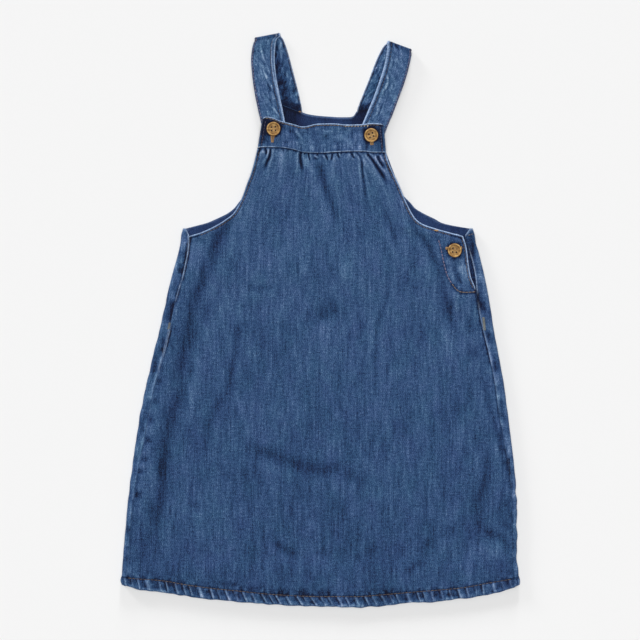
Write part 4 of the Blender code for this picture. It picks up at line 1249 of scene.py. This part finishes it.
def band_look(across, up):
    """The height, wear and shade of the band's outer face."""
    head, foot = band_head(across) - up, up - band_foot(across)
    from_left, from_right = across - BAND_LEFT(up), BAND_RIGHT(up) - across
    rope = waves(across, up, 2.4, 20, 24)
    white = 0.05 + 0.6 * smooth((abs(across + 20) - 22) / 8)
    pleats = smooth((across + 45) / 8) * smooth((48 - across) / 8)
    pleats *= bell(foot - 4, 4.5) + 0.6 * bell(head - 4.5, 3)
    pleats *= waves(across, 0.5 * up, 2, 6, 22)
    blot = waves(across, up, 7, 6, 25)
    look = turned_edge(head, across, 0.7 + 0.2 * smooth((across + 12) / 20), BAND_ROW, 0.55)
    look += turned_edge(np.minimum(from_left, from_right), up, 0.1, 3.2, 0.5)
    # The band's foot is rubbed white and paler, with a darker line above it; its pleats get painted
    # shade in their hollows and painted light on their crests, and it is darker towards both ends
    # and under its head near them
    look += relief(
        band_underside(across) + BAND - 0.4 * (1 - smooth(foot / 0.8))
        + 0.2 * bell(foot - 1.2, 0.8) + 0.35 * pleats + 0.2 * blot,
        (white + 0.8 * rope) * bell(foot - 0.35, 0.38),
        1.1 * bell(foot - 0.4, 0.6) - 0.5 * bell(foot - 1.7, 0.7) + 1.9 * pleats + blot + 0.3
        - smooth((foot - 1) / 5) * (2.1 * bell(from_left - 2.5, 5.5)
                                        + 1.1 * bell(from_right - 1.5, 6))
        - 1.3 * bell(head - 5, 3) * (bell(from_left - 13, 12)
                                         + bell(from_right - 13, 9)))
    look += button_hollow_and_shadow("button_left", across, up) + button_hollow_and_shadow("button_right", across, up)
    return look + creased(BAND_CREASES, across, up)


def front_band():
    """The bib band. Its upper corners are rounded off by drawing the ends of its top rows in."""
    columns, rows = 190, 52
    mesh, column, row = cloth_grid(columns, rows)
    near = EDGE_STEPS / BAND_HEIGHT
    middle = np.linspace(near[-1], 1 - near[-1], rows + 3 - 2 * len(near))
    rise = np.concatenate([near[:-1], middle, 1 - near[-2::-1]])[row]
    to_head = BAND_CORNER * np.clip(1 - (1 - rise) * BAND_HEIGHT / BAND_CORNER, 0, 1)
    inset = (BAND_CORNER - np.sqrt(BAND_CORNER ** 2 - to_head ** 2)) / BAND_LENGTH
    along = inset + (1 - 2 * inset) * column / columns
    top_across, top_up, foot_across, foot_up = [at(along) for at in curves(BAND_COLUMNS).values()]
    across = foot_across + (top_across - foot_across) * rise
    up = foot_up + (top_up - foot_up) * rise
    piece = finish_cloth("band_cloth", "front_band", "washed_denim", mesh, across, up,
                         band_look(across, up), (across, up, BAND_WEAVE), BAND)


# ----------------------------------------------------------------------------------- stitching


def lying(centre, way):
    """The place and turn of a thread by its middle and its way."""
    return Matrix.Translation(centre) @ Vector(way).to_track_quat("Z", "Y").to_matrix().to_4x4()


def strand(mesh, place, thick, length, around=6, rings=5):
    """Adds a short thread: a ball drawn out along the z axis of its place."""
    size = Matrix.Diagonal((thick / 2, thick / 2, length / 2, 1))
    bmesh.ops.create_uvsphere(mesh, u_segments=around, v_segments=rings, radius=1,
                              matrix=place @ size)


def along_places(line, spacing):
    """Places at an even spacing along a line, each with the direction there."""
    left = spacing / 2
    for a, b in zip(line, line[1:]):
        run = (b - a).length
        while left < run:
            yield a + (b - a) * (left / run), (b - a).normalized()
            left += spacing
        left -= run


def heights(face, places):
    """The heights of a face at places on it."""
    return face(*np.array([place[:2] for place in places]).T)


def stitches(mesh, line, face, length, gap, thick):
    """Adds a row of stitches that lie along a line on a face and dip into it at their ends."""
    row = list(along_places(line, length + gap))
    spots = [place + way * reach for place, way in row for reach in (-length / 2, 0, length / 2)]
    for (place, way), (start, middle, end) in zip(row, heights(face, spots).reshape(-1, 3)):
        centre = (*place, middle + 0.12 * thick)
        strand(mesh, lying(centre, (*way, (end - start) / length)), thick, OVERLAP * length)


def bar(mesh, start, end, face, thick, width, count):
    """A bar tack: threads side by side across a short line."""
    start, end = Vector(start), Vector(end)
    way = (end - start).normalized()
    for number in range(count):
        place = start.lerp(end, (number + 0.5) / count)
        centre = (*place, heights(face, [place])[0] + 0.15 * thick)
        strand(mesh, lying(centre, (-way.y, way.x, 0)), thick, width)


def offset_line(line, amount):
    """A line moved to its left by an amount."""
    moved = []
    for k, point in enumerate(line):
        way = (line[min(k + 1, len(line) - 1)] - line[max(k - 1, 0)]).normalized()
        moved.append(point + Vector((-way.y, way.x)) * amount)
    return moved


def straight(a, b, steps=8):
    """A straight line as points."""
    a, b = Vector(a), Vector(b)
    return [a.lerp(b, step / steps) for step in range(steps + 1)]


def front_top(across, up):
    """The heights of the front's face."""
    return front_look(across, up)[HEIGHT]


def band_top(across, up):
    """The heights of the band's face."""
    return band_look(across, up)[HEIGHT]


def flat_face(height):
    """A flat face, whose height is the same at every place."""
    return lambda across, up: np.full(np.shape(across), height)


def sewn():
    """The bar tacks and all topstitching but the straps', a piece for each part and thread."""
    hem = [Vector((x, float(hem_stitches(x)))) for x in np.arange(-192, 192.5, 4)]
    head = [Vector((x, float(band_head(x)) - BAND_ROW)) for x in np.arange(-55, 61, 2)]
    overcast = [straight((x, 192.6), (x + 1.4, 195.4)) for x in np.arange(25, 49, 3.1)]
    left, right = [offset_line(line, amount)[3:-2]
                   for line, amount in zip(ARMHOLE_LINES, (-EDGE_ROW, EDGE_ROW))]
    for name, material, work, rows in (
            ("front_stitches", brown_thread, stitches, [
                (hem, front_top, 3.4, 0.3, 0.5),
                (left, front_top, 2.8, 0.5, 0.55),
                (right, front_top, 2.8, 0.5, 0.55),
                (offset_line(OPENING_LINE, EDGE_ROW)[:-2], front_top, 2.8, 0.5, 0.55),
                (PLACKET[PLACKET_TURN:], front_top, 3.2, 0.1, 1.1),
                (straight((147.6, 84.6), (153.6, 86.6)), flat_face(SIDE_TOP), 2.3, 0.6, 0.7)]),
            ("placket_stitches", faded_thread, stitches, [
                (PLACKET[:PLACKET_TURN + 1], front_top, 2.8, 0.7, 1.4)]),
            ("band_stitches", brown_thread, stitches, [(head, band_top, 2.9, 0.4, 0.75)]),
            ("band_end_stitches", faded_thread, stitches, [
                (straight((-54.8, 199), (-59, 174.5)), band_top, 2.4, 0.7, 0.45),
                (straight((59.8, 193.5), (62, 169.5)), band_top, 2.4, 0.7, 0.45)]),
            ("band_overcast_stitches", cream_thread, stitches, [
                (line, band_top, 2.6, 0.4, 0.7) for line in overcast]),
            ("side_bar_tacks", grey_thread, bar, [
                ((-150.4, -2.4), (-151.8, -9), flat_face(SIDE_TOP), 0.7, 2.6, 9),
                ((163, 3), (164.2, -10.2), flat_face(SIDE_TOP), 0.7, 3, 19)]),
            ("edge_bar_tacks", tan_thread, bar, [
                ((114, 90), (118, 89.6), front_top, 0.8, 1.5, 6),
                ((-21.6, 208.8), (-18.8, 208.1), flat_face(FACING_TOP), 0.6, 1, 5)])):
        mesh = bmesh.new()
        for row in rows:
            work(mesh, *row)
        finish(name, mesh, [material])


# ------------------------------------------------------------------------------------ the straps


def strap_rows(strip):
    """The rows of a strap from its buttoned end to the neck, keyed by the way along it."""
    fold = strip.fold
    run = Vector((fold.right_across - fold.left_across, fold.right_up - fold.left_up)).normalized()
    loop = []
    for turn in np.linspace(0, pi, 7):
        back = STRAP_LOOP * (sin(turn) - 1)
        shift = (-run.y * back, run.x * back)
        loop.append(Across(fold.left_across + shift[0], fold.left_up + shift[1],
                           fold.right_across + shift[0], fold.right_up + shift[1],
                           fold.height + STRAP_LOOP * cos(turn)))
    rows, along, last = [], 0, None
    for row in strip.front + loop + strip.back:
        middle = Vector((row.left_across + row.right_across, row.left_up + row.right_up,
                         2 * row.height)) / 2
        along += (middle - last).length if last else 0
        last = middle
        rows.append(StrapRow(along, *row))
    return rows


def strap_look(strip, from_left, from_right, along, fold, total):
    """What wear and folds do to a strap. Its inner edge is rolled up and rubbed twice over."""
    on_left = strip.inner == "right"
    inner, outer = (from_right, from_left) if on_left else (from_left, from_right)
    front = 1 - smooth((along - fold + 1) / 5)
    to_seam = smooth((along - total + SEAM_SHADOW) / 4)
    rope = 0.85 + 0.3 * waves(along, 0, 3.2, 1, 33)
    spread = 0.5 + 0.5 * smooth((along - 25) / 20)
    if on_left:
        spread += 2.1 * smooth((along - fold + 70) / 70)
    blot = waves(from_left + 0.5 * along, along, 6, 7, strip.seed)
    fine = waves(from_left + 0.3 * along, along, 2, 4.5, strip.seed + 1)
    diagonal = waves(from_left + 0.6 * along, along - 0.4 * from_left, 2.4, 12, strip.seed + 2)
    before = turned_edge(inner, along + 40, 0, INNER_ROW, 1)
    before += creased(strip.creases, from_left, along)
    before += relief(0.35 * blot + 0.25 * diagonal,
                     rope * (0.85 * bell(inner - 0.6, 0.5) + 0.7 * bell(inner - 0.6 - spread, 0.45)),
                     0.6 * blot + 0.8 * fine + 0.8 * diagonal + 0.75)
    # The back run keeps more dye than the front run, and it is darkened with painted shade away from
    # its inner edge, beside the front run
    behind = turned_edge(inner, along + 40, 0.45, OUTER_ROW, 0.5)
    behind += relief(0.3 * diagonal, 0, 1.1 * blot + 1.8 * fine + 1.3 * diagonal + 0.5
                     - 1.7 * smooth((inner - 4) / 10)) * (1 - to_seam)
    look = turned_edge(outer, along, 0.1, OUTER_ROW, 0.5) + before * front + behind * (1 - front)
    # Painted shade at the fold, along the outer edge and towards the neck
    look[SHADE] -= 1.6 * bell(along - fold + 2, 3) + 0.7 * bell(outer, 1.4) + 1.8 * to_seam
    return look


def strap_lines(table, along):
    """The left ends of lines across a strap, their runs to the right ends and their heights."""
    left_across, left_up, right_across, right_up, height = [at(along) for at in table.values()]
    left = np.array([left_across, left_up])
    return left, np.array([right_across, right_up]) - left, height


def strap(strip):
    """A doubled strip, stitched along both edges: up the front, over the fold and down the back."""
    rows = strap_rows(strip)
    table = curves(rows)
    total, fold = rows[-1].along, rows[len(strip.front) + 3].along
    columns, count = 34, 220
    mesh, column, row = cloth_grid(columns, count)
    along = total * row / count
    left, run, height = strap_lines(table, along)
    share = across_steps(0, STRAP_WIDTH, columns, column, 1) / STRAP_WIDTH
    across, up = left + run * share
    from_left, from_right = [part * np.hypot(*run) for part in (share, 1 - share)]
    look = strap_look(strip, from_left, from_right, along, fold, total)
    tucked = smooth((along - total + 2.6) / 2)
    lift = 0.5 * smooth((along - STRAP_FREE_FROM) / 6) * (along < fold) * (look[HEIGHT] - 0.3)
    look[HEIGHT] = height + lift + TUCK_LIFT * tucked
    shares = 0.93 - 0.4 * (1 - smooth(np.minimum(from_left, from_right)))
    piece = finish_cloth(strip.name, strip.node, "washed_denim", mesh, across, up - TUCK * tucked,
                         look, (from_left, along, STRAP_WEAVE + strip.seed), STRAP,
                         shares * (1 - 0.9 * tucked))
    outer, inner = OUTER_ROW, STRAP_WIDTH - INNER_ROW
    if strip.inner == "left":
        outer, inner = STRAP_WIDTH - outer, STRAP_WIDTH - inner
    for label, rows_in, first, last, material in (
            ("_outer_stitches", [outer], STRAP_SEWN_FROM, fold, faded_thread),
            ("_inner_stitches", [inner], STRAP_SEWN_FROM, fold, dark_thread),
            ("_back_stitches", [OUTER_ROW, STRAP_WIDTH - OUTER_ROW], fold, total - SEAM_SHADOW,
             dark_thread)):
        mesh = bmesh.new()
        for row_in in rows_in:
            strap_stitches(mesh, table, row_in, np.arange(first, last, STITCH + STITCH_GAP))
        finish(strip.node + label, mesh, [material])


def strap_stitches(mesh, table, row_in, places):
    """Adds a row of stitches at places along a strap, seen on both of its faces."""
    for along in places:
        left, run, height = strap_lines(table, along + np.array([-0.5, 0, 0.5]) * STITCH)
        start, middle, end = map(Vector, zip(*(left + run * row_in / STRAP_WIDTH), height))
        way = (end - start).normalized()
        out = Vector((*run[:, 1], 0)).normalized().cross(way)
        for face in (1, -1):
            centre = middle + out * face * STRAP * 0.42
            if centre.z > 0.4:
                strand(mesh, lying(centre, way), THREAD, OVERLAP * STITCH)


# ------------------------------------------------------------------------------------- buttons


def button(name, node, turned):
    """A turned four-hole button, sewn on with two bars of thread."""
    low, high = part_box(node)
    place = (low + high) / 2 / MM
    place.z = low.z / MM
    place_on = Matrix.Translation(place) @ Matrix.Rotation(radians(turned), 4, "Z")
    mesh = bmesh.new()
    chain = [mesh.verts.new((ring.radius, 0, ring.height)) for ring in BUTTON_RINGS]
    edges = [mesh.edges.new(pair) for pair in zip(chain, chain[1:])]
    bmesh.ops.spin(mesh, geom=chain + edges, cent=(0, 0, 0), axis=(0, 0, 1), angle=2 * pi,
                   steps=56, use_merge=True)
    bmesh.ops.remove_doubles(mesh, verts=mesh.verts, dist=0.001)
    bmesh.ops.recalc_face_normals(mesh, faces=mesh.faces)
    bmesh.ops.transform(mesh, matrix=place_on, verts=mesh.verts)
    disc = finish(name + "_disc", mesh, [waxed_wood])
    pins = bmesh.new()
    for corner in [Vector((x, y, 0)) * HOLE_SPACING / 2 for x in (-1, 1) for y in (-1, 1)]:
        bmesh.ops.create_cone(pins, cap_ends=True, segments=14, radius1=HOLE_RADIUS,
                              radius2=HOLE_RADIUS, depth=8,
                              matrix=place_on @ Matrix.Translation(corner))
    cutter = finish(name + "_pins", pins, [])
    drill = disc.modifiers.new("holes", "BOOLEAN")
    drill.object = cutter
    drill.solver = "EXACT"
    bpy.context.view_layer.update()
    drilled = bpy.data.meshes.new_from_object(
        disc.evaluated_get(bpy.context.evaluated_depsgraph_get()))
    disc.modifiers.clear()
    disc.data = drilled
    bpy.data.objects.remove(cutter)
    drilled.set_sharp_from_angle(angle=radians(40))
    # Painted light and shade by radius: a painted highlight on the rim, painted shade in the groove
    # and on the lower wall
    radii = [np.hypot(*(corner.co / MM - place)[:2]) for corner in drilled.vertices]
    polish = np.interp(radii, *zip(*BUTTON_PAINTED_SHADING))
    drilled.attributes.new("polish", "FLOAT", "POINT").data.foreach_set(
        "value", polish.astype(np.float32))
    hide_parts(node)
    mesh = bmesh.new()
    for y in (-1, 1):
        for aside in (-0.17, 0.17):
            middle = Matrix.Translation((0, y * HOLE_SPACING / 2 + aside, 2.1))
            strand(mesh, place_on @ middle @ Matrix.Rotation(pi / 2, 4, "Y"), 0.36,
                   HOLE_SPACING, 8, 8)
    finish(name + "_thread", mesh, [tan_thread])


def buttonhole(name, head, foot, head_width, foot_width, face):
    """A worked buttonhole: close stitches round a slit, with a bar across its foot."""
    mesh = bmesh.new()
    head, foot = Vector(head), Vector(foot)
    way = (foot - head).normalized()
    cross = Vector((-way.y, way.x))
    count = int((foot - head).length / 0.5)
    for number in range(count + 1):
        share = number / count
        width = head_width + (foot_width - head_width) * share
        for hand in (-1, 1):
            place = head.lerp(foot, share) + cross * hand * width * 0.23
            centre = (*place, heights(face, [place])[0] + 0.15)
            strand(mesh, lying(centre, (*cross, -0.2 * hand)), 0.64, 0.52 * width, 6, 4)
    bar(mesh, foot - way * 0.6, foot + way * 0.4, face, 0.6, foot_width, 3)
    finish(name, mesh, [tan_thread])


# ------------------------------------------------------------------------------- the whole dress


front_panel()
back_panel()
back_facing()
side_underlap()
front_band()
for strip in STRIPS:
    strap(strip)
sewn()
button("left_button", "button_left", 4)
button("right_button", "button_right", 20)
button("side_button", "button_side", -6)
buttonhole("left_buttonhole", (-47.4, 187), (-47.9, 178), 6.2, 2.6, band_top)
buttonhole("right_buttonhole", (51.2, 181), (51.5, 175.4), 5, 3.8, band_top)
buttonhole("side_buttonhole_left", (131, 71.6), (125.6, 71.9), 3, 3, front_top)
buttonhole("side_buttonhole_right", (136, 71.8), (141.2, 72.2), 3, 3, front_top)


# --------------------------------------------------------------------- floor, light and camera


# The suns' strength, elevation and turn to the right of the head of the dress, and how soft
# their shadows are
Lamp = namedtuple("Lamp", "name strength elevation turned spread")
LAMPS = [Lamp("key_left", 1.3, 11, -42, 12), Lamp("key_middle", 1.6, 11, 4, 12),
         Lamp("fill", 2.16, 90, 0, 35)]
SKY_STRENGTH = 0.2
# How far the board reaches from the middle, in metres, and how far it lies below the dress
BOARD_REACH = 4
BOARD_DROP = 0.1
# The width of the view, and the lens
VIEW_MM = 640
LENS = 200
SENSOR = 36


def studio():
    """A matt white paper board under a pale sky and three soft suns."""
    mesh = bmesh.new()
    bmesh.ops.create_grid(mesh, x_segments=1, y_segments=1, size=BOARD_REACH)
    bmesh.ops.translate(mesh, vec=(0, 0, -BOARD_DROP * MM), verts=mesh.verts)
    data = bpy.data.meshes.new("studio_board")
    mesh.to_mesh(data)
    mesh.free()
    paper = new_material("studio_board", 1, Specular_IOR_Level=0,
                         Base_Color=colour("#EFEFEF"))[0]
    data.materials.append(paper)
    board = put("studio_board", data)

    world = bpy.data.worlds.new("studio")
    world.use_nodes = True
    sky = world.node_tree.nodes["Background"]
    sky.inputs["Color"].default_value = (1, 1, 1, 1)
    sky.inputs["Strength"].default_value = SKY_STRENGTH
    bpy.context.scene.world = world

    for lamp in LAMPS:
        data = bpy.data.lights.new(lamp.name, "SUN")
        data.energy = lamp.strength
        data.angle = radians(lamp.spread)
        rise, turn = radians(lamp.elevation), radians(lamp.turned)
        towards = Vector((sin(turn) * cos(rise), cos(turn) * cos(rise), sin(rise)))
        made = put(lamp.name, data)
        made.rotation_mode = "QUATERNION"
        made.rotation_quaternion = towards.to_track_quat("Z", "Y")


def camera():
    """It looks straight down on a view about VIEW_MM millimetres wide at the dress."""
    data = bpy.data.cameras.new("camera")
    data.lens = LENS
    data.sensor_width = SENSOR
    made = put("camera", data)
    made.location = Vector((-0.3, 0.2, VIEW_MM * LENS / SENSOR + 3)) * MM
    bpy.context.scene.camera = made


studio()
camera()
view = bpy.context.scene.view_settings
view.view_transform = "Standard"
view.look = "None"
